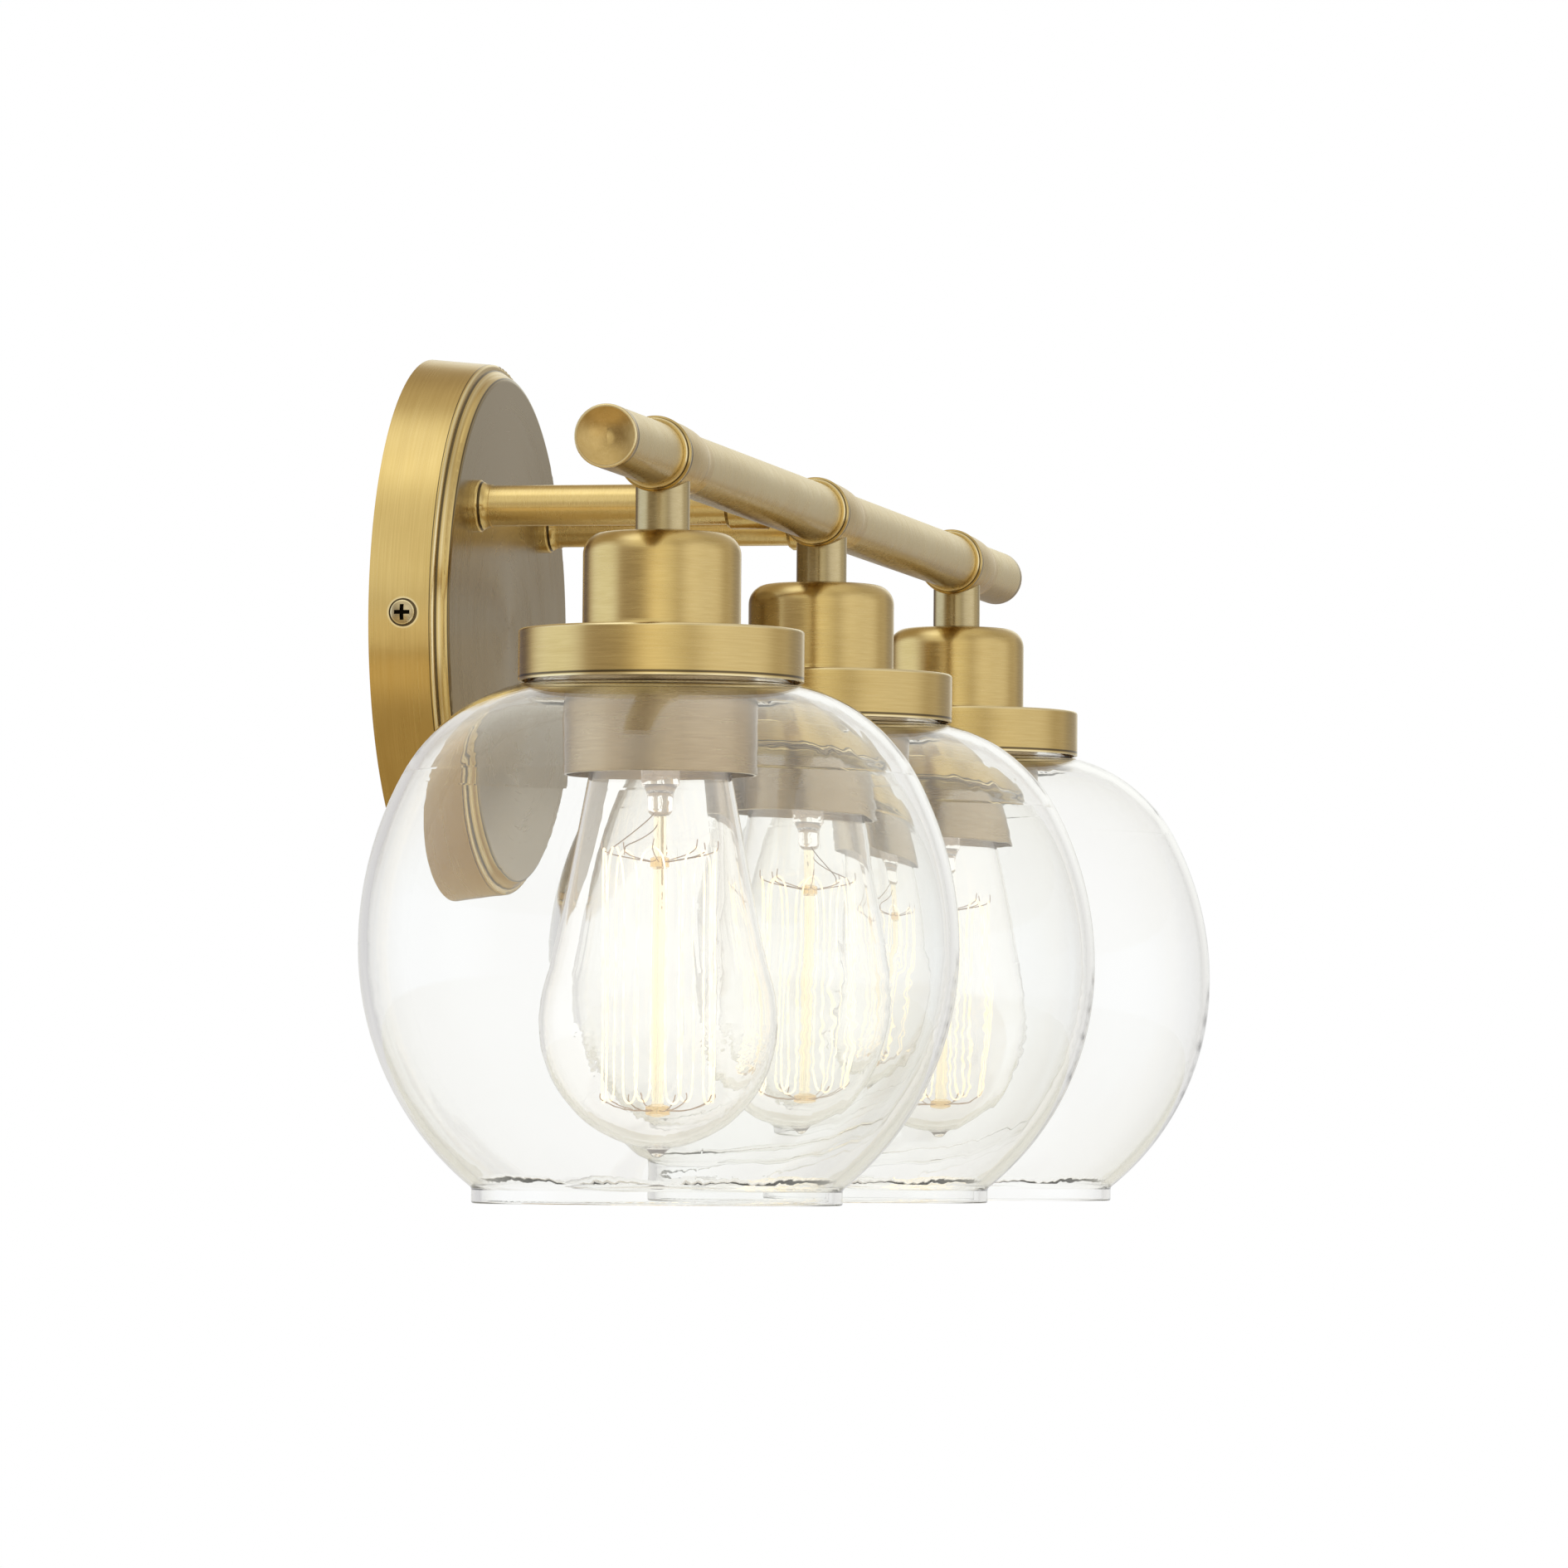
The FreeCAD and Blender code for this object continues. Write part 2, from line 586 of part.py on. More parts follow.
def make_globe(label, lamp_x):
    """A blown globe, open below, with a short turned-in neck held inside the collar."""
    neck_top = cup_bottom - cup_skin - gasket_thick
    middle = globe_middle
    wall = globe_wall
    flank = 92.0
    shoulder = 45.7
    belly = 78.0
    fillet = 2.0
    lip = 4.2
    globe = turned(label, [
        (neck_radius - 11.5, neck_top),
        (neck_radius - 1.5, neck_top),
        (neck_radius, neck_top - 1.5, 1.5, -1),
        (neck_radius, middle + 68.56),
        (neck_radius + 1.56, middle + 66.61, fillet, 1),
        (globe_radius - 11.1, middle + 43.8, shoulder, -1),
        (globe_radius, middle, flank, -1),
        (rim_radius + 0.3, globe_rim + lip, belly, -1),
        (rim_radius, globe_rim + lip - 0.8, 1.1, 1),
        (rim_radius, globe_rim + 0.6),
        (rim_radius - 0.6, globe_rim, 0.6, -1),
        (rim_radius - wall + 0.6, globe_rim),
        (rim_radius - wall, globe_rim + 0.6, 0.6, -1),
        (rim_radius - wall, globe_rim + lip - 0.2),
        (rim_radius - 1.27, globe_rim + lip + 1.9, 3.2, -1),
        (globe_radius - wall, middle, belly - wall, 1),
        (globe_radius - 13.03, middle + 42.75, flank - wall, 1),
        (neck_radius + 1.07, middle + 64.47, shoulder - wall, 1),
        (neck_radius - wall, middle + 68.56, fillet + wall, -1),
        (neck_radius - wall, neck_top - wall - 0.6),
        (neck_radius - wall - 0.6, neck_top - wall, 0.6, 1),
        (neck_radius - 11.5, neck_top - wall)])
    keep(label, place(globe, lamp_x, -lamp_reach, 0))


def make_sleeve(label, lamp_x):
    """The retaining sleeve: a flange clamps the globe's neck and a skirt hides the lampholder."""
    top = cup_bottom - cup_skin - gasket_thick - globe_wall
    skin = cup_skin
    sleeve = turned(label, [
        (holder_radius + 0.3, top),
        (neck_radius - globe_wall - 1.2, top),
        (neck_radius - globe_wall - 1.2, top - skin),
        (sleeve_radius, top - skin),
        (sleeve_radius, sleeve_bottom + 0.3),
        (sleeve_radius - 0.3, sleeve_bottom, 0.3, -1),
        (sleeve_radius - skin, sleeve_bottom),
        (sleeve_radius - skin, top - skin),
        (holder_radius + 0.3, top - skin)])
    keep(label, place(sleeve, lamp_x, -lamp_reach, 0))


def lamp_turn(lamp_x):
    """The neutral rivet faces the arm that the lamp's leads come from."""
    return Rotation(Vector(0, 0, 1), 0 if lamp_x.value < 0 else 180)


def holder_solid(name, lamp_x):
    """Porcelain: a wiring chamber on top, a floor, and the cavity for the screw shell."""
    body = turned(f"{name}_body", [
        (nipple_radius + 0.05, 6.0),
        (holder_radius - 2.5, 6.0),
        (holder_radius, 3.5, 2.5, -1),
        (holder_radius, holder_bottom + 1.0),
        (holder_radius - 1.0, holder_bottom, 1.0, -1),
        (16.4, holder_bottom),
        (15.1, holder_bottom + 2.5, 3.4, -1),
        (15.1, -7.0),
        (2.2, -7.0),
        (2.2, -3.0),
        (12.5, -3.0),
        (12.5, chamber_top),
        (nipple_radius + 0.05, chamber_top)])
    rivet_hole = place(rod(f"{name}_rivet_hole", 1.6, 6.0), rivet_offset, 0, -8.0)
    return place(cut(name, body, rivet_hole), lamp_x, -lamp_reach, 0, lamp_turn(lamp_x))


def shell_solid(name, lamp_x):
    """The threaded shell that takes the bulb, with the rivet that carries its lead."""
    bore = shell_bore
    crest = 0.85
    skin = 0.45
    outline = [(7.0, -7.05), (bore + crest + skin, -7.05)]
    turns = 6
    first = -8.9
    outline.append((bore + crest + skin, first))
    for turn in range(turns):
        low = first - thread_pitch * turn
        outline.append((bore + skin, low - thread_pitch / 2, 2.5, -1))
        outline.append((bore + crest + skin, low - thread_pitch, 2.5, 1))
    outline.append((bore + crest, first - thread_pitch * turns))
    for turn in reversed(range(turns)):
        low = first - thread_pitch * turn
        outline.append((bore, low - thread_pitch / 2, 2.5 - skin, -1))
        outline.append((bore + crest, low, 2.5 - skin, 1))
    outline.append((bore + crest, -7.05 - skin))
    outline.append((7.0, -7.05 - skin))
    shell = turned(f"{name}_wall", outline)
    rivet = turned(f"{name}_rivet", [
        (0, -8.1), (2.6, -8.1), (2.6, -7.3), (1.5, -7.3), (1.5, -2.95), (3.0, -2.95),
        (3.0, CONTACT_TOP), (0, CONTACT_TOP)])
    place(rivet, rivet_offset, 0, 0)
    return place(fuse(name, shell, rivet), lamp_x, -lamp_reach, 0, lamp_turn(lamp_x))


def contact_solid(name, lamp_x):
    """The centre contact: a rivet through the porcelain floor with a domed foot."""
    contact = turned(name, [
        (0, -8.45), (2.6, -7.55, 4.2, 1), (2.6, -7.05), (2.1, -7.05), (2.1, -2.95),
        (3.4, -2.95), (3.4, CONTACT_TOP), (0, CONTACT_TOP)])
    return place(contact, lamp_x, -lamp_reach, 0)


def gasket_solid(name, lamp_x):
    top = cup_bottom - cup_skin
    ring = tube(name, neck_radius - 2.0, neck_radius - 11.0, top - gasket_thick, top)
    return place(ring, lamp_x, -lamp_reach, 0)


def retaining_ring_solid(name, lamp_x):
    """The nut on the lampholder that draws the sleeve, globe and collar up against the cup."""
    top = cup_bottom - cup_skin * 2 - gasket_thick - globe_wall
    ring = turned(name, [
        (holder_radius + 0.05, top), (sleeve_radius - cup_skin - 1.2, top),
        (sleeve_radius - cup_skin - 1.2, top - 4.0), (sleeve_radius - cup_skin - 2.2, top - 5.0),
        (holder_radius + 0.05, top - 5.0)])
    return place(ring, lamp_x, -lamp_reach, 0)


def stem_nipple_solid(name, lamp_x):
    length_top = bar_height - 11.5
    return place(tube(name, nipple_radius, nipple_bore, chamber_top, length_top), lamp_x, -lamp_reach, 0)


def stem_nut_solid(name, lamp_x):
    nut = cut(name, hexagon(f"{name}_hex", 14.0, 3.0),
              place(rod(f"{name}_bore", nipple_radius, 5.0), 0, 0, -1.0))
    return place(nut, lamp_x, -lamp_reach, cup_top - cup_skin - 3.0)


# ---------------------------------------------------------------- bulbs

def make_bulb_glass(label, lamp_x):
    """The pear-shaped envelope with a drawn-out pip at its tip."""
    top_round = 40.0
    low_round = 31.7
    skin = bulb_skin
    glass = turned(label, [
        (11.4, -31.0),
        (12.3, -31.0),
        (12.5, -33.4),
        (17.9, -48.5, 60.0, -1),
        (24.3, -83.0),
        (bulb_radius - 1.2, bulb_middle + 9.7, 250.0, 1),
        (bulb_radius, bulb_middle, top_round, -1),
        (3.4, bulb_tip + 2.45, low_round, -1),
        (1.7, bulb_tip + 0.75, 4.2, 1),
        (0, bulb_tip, 2.0, -1),
        (0, bulb_tip + 3.3),
        (bulb_radius - skin, bulb_middle, low_round - skin, 1),
        (bulb_radius - skin - 1.17, bulb_middle + 9.5, top_round - skin, 1),
        (24.3 - skin, -83.0, 250.0, -1),
        (17.9 - skin, -48.6),
        (11.6, -33.4, 59.0, 1)])
    keep(label, place(glass, lamp_x, -lamp_reach, 0))


def make_bulb_cap(label, lamp_x):
    """The threaded metal cap, and the contact at its end as a solid of its own."""
    root = cap_radius - 0.9
    crown = 8.6
    skin = 0.6
    outline = [(crown, -11.6), (10.3, -11.6), (root, -13.6, 2.4, -1)]
    turns = 4
    first = -14.2
    outline.append((root, first))
    for turn in range(turns):
        low = first - thread_pitch * turn
        outline.append((cap_radius, low - thread_pitch / 2, 2.4, 1))
        outline.append((root, low - thread_pitch, 2.4, -1))
    outline.extend([
        (root + 0.7, -30.4), (13.2, -33.2), (13.2, -33.9), (12.85, -33.9), (12.8, -33.0),
        (root + 0.35, -30.6), (root - skin, -28.6), (root - skin, -17.4), (crown + 0.7, -15.6),
        (crown, -14.9)])
    shell = place(turned(f"{label}_shell", outline), lamp_x, -lamp_reach, 0)
    contact = turned(f"{label}_contact", [
        (0, -10.2), (3.9, -10.2), (3.9, -9.6), (0, -8.8, dome(3.9, 0.8), 1)])
    place(contact, lamp_x, -lamp_reach, 0)
    keep(label, group(label, [shell, contact]))


def make_bulb_insulator(label, lamp_x):
    """The black glass between the contact and the cap."""
    insulator = turned(label, [(0, -12.6), (8.5, -12.6), (8.5, -11.4), (4.4, -10.25), (0, -10.25)])
    keep(label, place(insulator, lamp_x, -lamp_reach, 0))


def make_bulb_mount(label, lamp_x):
    """The glass stem: a flare, a pinch, and the long rod between the two buttons."""
    mount = turned(label, [
        (0, -31.0), (11.3, -31.0), (11.3, -32.2), (5.6, -39.0, 9.0, 1), (4.9, -50.0),
        (4.9, -52.4), (3.3, -55.4, 4.5, 1), (3.2, -58.6), (1.6, -60.4, 2.0, -1),
        (1.6, cage_top - 0.6), (2.4, cage_top - 1.0), (2.4, cage_top - 3.2), (1.6, cage_top - 3.8),
        (1.6, cage_bottom - 2.4), (3.1, cage_bottom - 3.0), (3.1, cage_bottom - 5.0),
        (0, cage_bottom - 5.8, 8.0, -1)])
    keep(label, place(mount, lamp_x, -lamp_reach, 0))


def round_cage(radius, degrees, height):
    """A point about the lamp axis; the gap between the filament's two ends is at 0 degrees."""
    turn = math.radians(degrees)
    return Vector(radius * math.cos(turn), radius * math.sin(turn), height)


def hairpin_angles():
    """The middle of each hairpin, in degrees."""
    step = 360.0 / HAIRPINS
    return [step * (number + 0.5) for number in range(HAIRPINS)]


def make_bulb_filament(label, lamp_x, turn):
    """One wire that runs up and down round the cage, with a round bend at each end."""
    radius = cage_radius.value
    low = cage_bottom.value - LOW_BEND
    high = cage_top.value + HIGH_BEND
    points = []
    bends = []
    for middle in hairpin_angles():
        for leg, heights in ((middle - HAIRPIN_HALF, (high, low)), (middle + HAIRPIN_HALF, (low, high))):
            points.extend(round_cage(radius, leg, height) for height in heights)
        bends.extend([HIGH_BEND, LOW_BEND, LOW_BEND, HIGH_BEND])
    points[0].z = cage_top.value
    points[-1].z = cage_top.value
    wire = swept(label, wire_through(points, bends[1:-1]), filament_thick.value)
    keep(label, place(wire, lamp_x, -lamp_reach, 0, Rotation(Vector(0, 0, 1), turn)))


def make_bulb_supports(label, lamp_x, turn):
    """Radial wires from the two buttons through the bends, and the two lead-in wires."""
    step = 360.0 / HAIRPINS
    tip = cage_radius.value + 0.6
    clear = filament_thick.value + support_thick.value + 0.05
    foot = cage_bottom.value - LOW_BEND + clear
    head = cage_top.value + HIGH_BEND - clear
    runs = []
    for middle in hairpin_angles():
        runs.append((round_cage(3.0, middle, cage_bottom.value - 4.0), round_cage(tip, middle, foot)))
    for middle in hairpin_angles()[:-1]:
        between = middle + step / 2
        runs.append((round_cage(2.3, between, cage_top.value - 2.0), round_cage(tip, between, head)))
    first_leg = step / 2 - HAIRPIN_HALF
    for leg in (first_leg, -first_leg):
        runs.append((round_cage(1.5, leg, -59.0),
                     round_cage(cage_radius.value - 0.5, leg, cage_top.value + 0.4)))
    solids = []
    for number, (first, last) in enumerate(runs):
        path = Part.Wire(Part.LineSegment(first, last).toShape())
        solids.append(swept(f"{label}_{number}", path, support_thick.value))
    supports = group(label, solids)
    keep(label, place(supports, lamp_x, -lamp_reach, 0, Rotation(Vector(0, 0, 1), turn)))


# ---------------------------------------------------------------- wiring

def make_connectors():
    """Two twist-on connectors in the canopy, one for each polarity, open towards -X."""
    caps = []
    for name, level in (("hot", HOT_LEVEL), ("neutral", NEUTRAL_LEVEL)):
        cap = turned(f"connector_{name}", [
            (3.6, 0), (6.2, 0), (6.2, 3.0), (5.6, 4.0), (4.2, 17.0), (0, 19.5, dome(4.2, 2.5), 1),
            (0, 12.0), (3.6, 12.0)])
        caps.append(place(cap, -6.0, CONNECTOR_DEEP, level, TO_RIGHT))
    keep("wire_connectors", group("wire_connectors", caps))


def lead_points(lamp, hot):
    """From a connector through an arm and along the bar, then down a stem to the lampholder."""
    upward = 1 if hot else -1
    heading = -1 if lamp == -1 else 1
    arm_x = arm_offset.value * (1 if lamp == 1 else -1) + LEAD_PITCH * heading
    arm_z = bar_height.value + LEAD_PITCH * upward
    level = HOT_LEVEL if hot else NEUTRAL_LEVEL
    lamp_x = lamp_spacing.value * lamp
    bar_y = -lamp_reach.value
    if lamp == 1:
        # The right arm's leads turn back beside the connector and cross the canopy.
        back_y = CONNECTOR_DEEP - 0.9
        cross_z = level - 10.5 * upward
        points = [Vector(3.0, back_y, level), Vector(-16.0, back_y, level),
                  Vector(-16.0, back_y, cross_z), Vector(arm_x, back_y, cross_z),
                  Vector(arm_x, back_y, arm_z)]
    else:
        back_y = CONNECTOR_DEEP + 1.0
        start_z = level + (-heading) * upward * 1.1
        points = [Vector(3.0, back_y, start_z), Vector(arm_x, back_y, start_z),
                  Vector(arm_x, back_y, arm_z)]
    drop_x = lamp_x + 1.3 * heading * upward
    points += [Vector(arm_x, bar_y, arm_z), Vector(drop_x, bar_y, arm_z)]
    if hot:
        points.append(Vector(drop_x, bar_y, CONTACT_TOP))
    else:
        lead_z = CONTACT_TOP + lead_radius.value
        points.append(Vector(drop_x, bar_y, lead_z))
        points.append(Vector(lamp_x - (rivet_offset.value + 1.5) * heading, bar_y, lead_z))
    return points


def make_leads(label, hot):
    leads = []
    for lamp in (-1, 0, 1):
        points = lead_points(lamp, hot)
        bends = [LEAD_BEND] * (len(points) - 2)
        if not hot:
            bends[-1] = LAST_BEND
        leads.append(swept(f"{label}_{lamp + 2}", wire_through(points, bends), lead_radius.value))
    keep(label, group(label, leads))


def make_ground_wire():
    """Bare copper from under the ground screw to the lock nut of the right arm."""
    under_head = -bracket_thick.value - 0.85
    beside_nut = canopy_skin.value - canopy_deep.value + 1.5
    near_x = arm_offset.value - 2.6
    nut_z = bar_height.value - 7.0
    shank_side = 2.75
    points = [Vector(16.2, under_head, shank_side), Vector(near_x, under_head, shank_side),
              Vector(near_x, beside_nut, shank_side), Vector(near_x, beside_nut, nut_z)]
    path = wire_through(points, [LEAD_BEND, LEAD_BEND])
    keep("ground_wire", swept("ground_wire", path, 0.8))


lamps = [(1, -lamp_spacing), (2, as_size(0)), (3, lamp_spacing)]

make_wall_bracket()
make_canopy()
make_side_screw("canopy_screw_left", -1)
make_side_screw("canopy_screw_right", 1)
make_ground_screw()
make_arms()
make_bar()
for number, lamp_x in lamps:
    make_knuckle(f"knuckle_{number}", lamp_x)
    make_stem(f"stem_{number}", lamp_x)
    make_cup(f"socket_cup_{number}", lamp_x)
    make_collar(f"collar_{number}", lamp_x)
    make_globe(f"globe_{number}", lamp_x)
    make_sleeve(f"retaining_sleeve_{number}", lamp_x)
    make_bulb_glass(f"bulb_glass_{number}", lamp_x)
    make_bulb_cap(f"bulb_cap_{number}", lamp_x)
    make_bulb_insulator(f"bulb_insulator_{number}", lamp_x)
    make_bulb_mount(f"bulb_mount_{number}", lamp_x)
    make_bulb_filament(f"bulb_filament_{number}", lamp_x, CAGE_TURNS[number])
    make_bulb_supports(f"bulb_supports_{number}", lamp_x, CAGE_TURNS[number])

for label, maker in (("lampholders", holder_solid), ("screw_shells", shell_solid),
                     ("centre_contacts", contact_solid), ("globe_gaskets", gasket_solid),
                     ("retaining_rings", retaining_ring_solid), ("stem_nipples", stem_nipple_solid),
                     ("stem_lock_nuts", stem_nut_solid)):
    keep(label, group(label, [maker(f"{label}_{number}", lamp_x) for number, lamp_x in lamps]))
make_connectors()
make_leads("hot_leads", True)
make_leads("neutral_leads", False)
make_ground_wire()
doc.recompute()


# ---------------------------------------------------------------- checks and files

for item in doc.Objects:
    if "Invalid" in item.State or "Error" in item.State:
        raise RuntimeError(f"{item.Name} failed: {item.State}")
for label, piece in nodes.items():
    if piece.Shape.isNull() or not piece.Shape.isValid():
        raise RuntimeError(f"{label} has a bad shape")
    if not piece.Shape.Solids:
        raise RuntimeError(f"{label} holds no solid")

os.makedirs("parts", exist_ok=True)
for label, piece in nodes.items():
    piece.Shape.exportStep(f"parts/{label}.step")
    print(f"{label}: {len(piece.Shape.Solids)} solid(s), {piece.Shape.Volume:.1f} mm3")
print(f"{len(nodes)} nodes")
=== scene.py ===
import math
import random

import bpy
from mathutils import Matrix, Vector


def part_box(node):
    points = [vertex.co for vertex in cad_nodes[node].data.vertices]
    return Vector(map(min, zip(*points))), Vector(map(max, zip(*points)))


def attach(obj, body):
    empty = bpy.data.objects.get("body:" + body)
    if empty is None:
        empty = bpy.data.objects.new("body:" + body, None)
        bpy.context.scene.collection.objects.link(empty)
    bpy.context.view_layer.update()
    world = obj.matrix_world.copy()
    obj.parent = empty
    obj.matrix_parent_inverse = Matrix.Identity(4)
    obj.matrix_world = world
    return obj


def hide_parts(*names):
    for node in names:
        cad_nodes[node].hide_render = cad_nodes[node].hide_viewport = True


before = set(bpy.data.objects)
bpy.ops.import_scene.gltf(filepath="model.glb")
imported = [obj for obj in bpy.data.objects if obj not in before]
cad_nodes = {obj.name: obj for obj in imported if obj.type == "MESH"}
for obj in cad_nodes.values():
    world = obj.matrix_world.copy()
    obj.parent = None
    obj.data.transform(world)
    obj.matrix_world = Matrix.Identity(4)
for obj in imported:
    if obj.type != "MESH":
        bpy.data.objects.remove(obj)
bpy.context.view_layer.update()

X = Vector((1, 0, 0))
Y = Vector((0, 1, 0))
Z = Vector((0, 0, 1))
LAMPS = (1, 2, 3)
MM = 0.001


def direction(azimuth, elevation):
    """The unit vector towards an azimuth, counted from +X, and an elevation, both in degrees."""
    turn = math.radians(azimuth)
    rise = math.radians(elevation)
    return Vector((math.cos(rise) * math.cos(turn), math.cos(rise) * math.sin(turn), math.sin(rise)))


def middle_of(node):
    """The middle of a CAD node's box."""
    low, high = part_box(node)
    return (Vector(low) + Vector(high)) / 2


# Each lamp's axis stands on the level Z = 0.
lamp_at = {lamp: middle_of(f"socket_cup_{lamp}") for lamp in LAMPS}
for spot in lamp_at.values():
    spot.z = 0
bar_at = middle_of("bar_tube")
arm_at = middle_of("arm_left")


# ---------------------------------------------------------------- node helpers

SCALAR_RESULTS = ("LENGTH", "DISTANCE", "DOT_PRODUCT")


class Nodes:
    """Short ways to add nodes to a tree and to feed them."""

    def __init__(self, tree):
        self.tree = tree

    def add(self, kind, inputs=(), **settings):
        node = self.tree.nodes.new(kind)
        for key, value in settings.items():
            setattr(node, key, value)
        for key, value in dict(inputs).items():
            self.feed(node.inputs[key], value)
        return node

    def feed(self, socket, value):
        if isinstance(value, bpy.types.NodeSocket):
            self.tree.links.new(value, socket)
        else:
            socket.default_value = value

    def math(self, operation, *values):
        return self.add("ShaderNodeMath", dict(enumerate(values)), operation=operation).outputs[0]

    def vector(self, operation, first, second):
        key = "Scale" if operation == "SCALE" else 1
        node = self.add("ShaderNodeVectorMath", {0: first, key: second}, operation=operation)
        return node.outputs["Value" if operation in SCALAR_RESULTS else "Vector"]

    def span(self, value, low, high, to_low, to_high, smooth=False):
        """Maps low..high onto to_low..to_high, and holds the ends."""
        inputs = {"Value": value, "From Min": low, "From Max": high, "To Min": to_low, "To Max": to_high}
        kind = "SMOOTHSTEP" if smooth else "LINEAR"
        return self.add("ShaderNodeMapRange", inputs, interpolation_type=kind).outputs[0]


class Finish(Nodes):
    """A material with one Principled shader, whose settings are constants or come from nodes."""

    def __init__(self, name, **constants):
        self.material = bpy.data.materials.new(name)
        self.material.use_nodes = True
        super().__init__(self.material.node_tree)
        self.shader = self.tree.nodes["Principled BSDF"]
        for key, value in constants.items():
            socket = self.shader.inputs[key.replace("_", " ")]
            socket.default_value = (*value, 1) if isinstance(value, tuple) else value

    def set(self, key, value):
        self.feed(self.shader.inputs[key], value)

    def place(self):
        return self.add("ShaderNodeTexCoord").outputs["Object"]

    def noise(self, where, scale, detail=2.0, roughness=0.5):
        inputs = {"Vector": where, "Scale": scale, "Detail": detail, "Roughness": roughness}
        return self.add("ShaderNodeTexNoise", inputs).outputs["Fac"]

    def blend(self, amount, first, second):
        """The first colour where the amount is 0 and the second where it is 1."""
        colours = [(*c, 1) if isinstance(c, tuple) and len(c) == 3 else c for c in (first, second)]
        node = self.add("ShaderNodeMix", data_type="RGBA")
        self.feed(node.inputs[0], amount)
        self.feed(node.inputs[6], colours[0])
        self.feed(node.inputs[7], colours[1])
        return node.outputs[2]

    def traces(self, out, along, circles):
        """How near a point is to some circles about the axis, each with a radius, a height and a width."""
        place = self.add("ShaderNodeCombineXYZ", {0: out, 1: along}).outputs[0]
        nearest = 0.0
        for radius, height, width in circles:
            gap = self.vector("DISTANCE", place, (radius * MM, height * MM, 0))
            trace = self.span(gap, width * 0.3 * MM, width * MM, 1.0, 0.0, smooth=True)
            nearest = self.math("MAXIMUM", nearest, trace)
        return nearest

    def bump(self, height, strength, distance):
        node = self.add("ShaderNodeBump", {"Height": height, "Strength": strength, "Distance": distance})
        self.set("Normal", node.outputs[0])

    def around(self, axis, centre, folded=False):
        """Where a point is about an axis: its direction out, its distance out, its height along.

        Folded, a pair of pieces on both sides of the middle share the axis on the right.
        """
        where = self.vector("ABSOLUTE", self.place(), (0, 0, 0)) if folded else self.place()
        offset = self.vector("SUBTRACT", where, tuple(centre))
        flat = self.vector("MULTIPLY", offset, tuple(Vector((1, 1, 1)) - axis))
        out = self.vector("LENGTH", flat, (0, 0, 0))
        along = self.vector("DOT_PRODUCT", offset, tuple(axis))
        return self.vector("NORMALIZE", flat, (0, 0, 0)), out, along


def paint(node, finish):
    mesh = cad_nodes[node].data
    mesh.materials.clear()
    mesh.materials.append(finish.material)


# ---------------------------------------------------------------- materials

BRASS_LIGHT = (0.70, 0.52, 0.215)
BRASS_DEEP = (0.58, 0.41, 0.145)
# painted shade for creases and screw seats
HOLLOW_SHADE = (0.07, 0.045, 0.02)
# painted shade for the screws' cross recesses
RECESS_SHADE = (0.008, 0.006, 0.004)
# the canopy's flat face: the same brass painted darker as shade
FACE_SHADED_BRASS = (0.34, 0.262, 0.145)
# painted highlight for edges, rims and screw brims
EDGE_HIGHLIGHT = (0.93, 0.80, 0.50)
# painted highlight and painted shade for the lengthwise reflection bands
BAND_HIGHLIGHT = (1.0, 0.86, 0.55)
BAND_SHADE = (0.12, 0.075, 0.025)
ROD_GOLD = (0.95, 0.88, 0.68)
BUTTON_GOLD = (0.74, 0.52, 0.22)
# Copies of the same brass for single parts, painted as light and shade: darker for the sleeves and end caps,
# greyer for the stems as a painted sheen, lighter for the bar and arms.
SLEEVE_SHADED_LIGHT = (0.54, 0.42, 0.26)
SLEEVE_SHADED_DEEP = (0.43, 0.32, 0.19)
STEM_SHEEN_LIGHT = (0.64, 0.52, 0.29)
STEM_SHEEN_DEEP = (0.53, 0.42, 0.21)
BAR_LIT_LIGHT = (0.80, 0.645, 0.325)
BAR_LIT_DEEP = (0.68, 0.515, 0.22)
CAP_SHADED_LIGHT = (0.57, 0.40, 0.17)
CAP_SHADED_DEEP = (0.47, 0.32, 0.115)
ARM_LIT_LIGHT = (0.76, 0.575, 0.255)
ARM_LIT_DEEP = (0.63, 0.455, 0.175)

# Circles about each piece's axis, in millimetres: radius, height along the axis, width of the trace.
# Creases get painted shade and edges get a painted highlight.
CANOPY_CREASES = ((71.6, -17.8, 0.5), (73.45, -16.5, 0.22), (69.4, -20.6, 0.4))
CANOPY_EDGES = ((73.2, -17.3, 0.5), (71.2, -18.9, 0.6))
LAMP_CREASES = ((6.9, 11.6, 0.9), (20.7, -13.1, 0.8), (36.3, -25.3, 0.45))
LAMP_EDGES = ((20.7, -12.2, 0.6), (36.1, -13.3, 0.7), (36.3, -26.1, 0.5))
KNUCKLE_CREASES = ((8.6, -10.8, 0.9), (9.2, -7.2, 1.1), (8.7, 14.6, 1.0))
KNUCKLE_EDGES = ((9.7, -9.3, 0.9), (9.0, -12.0, 0.7))
BAR_CREASES = ((8.1, -263.6, 0.9), (8.1, 263.6, 0.9))
CAP_EDGES = ((7.7, -266.0, 0.5), (7.7, 266.0, 0.5))
FOOT_CREASES = ((6.4, 23.4, 0.6),)

# Painted lengthwise reflections, highlight or shade: the azimuth and elevation that each faces, how sharp it
# is, and how light or dark (-).
SLEEVE_BANDS = ((183, 0, 45.0, -0.5), (112, 0, 16.0, -0.5), (272, 0, 16.0, -0.5))
STEM_BANDS = ((190, 0, 7.0, -0.35), (135, 0, 12.0, -0.2))
BAR_BANDS = ((270, -75, 3.0, -0.62), (270, -5, 6.0, 0.34))
CUP_BANDS = ((228, 0, 50.0, -0.12), (166, 0, 50.0, 0.15))

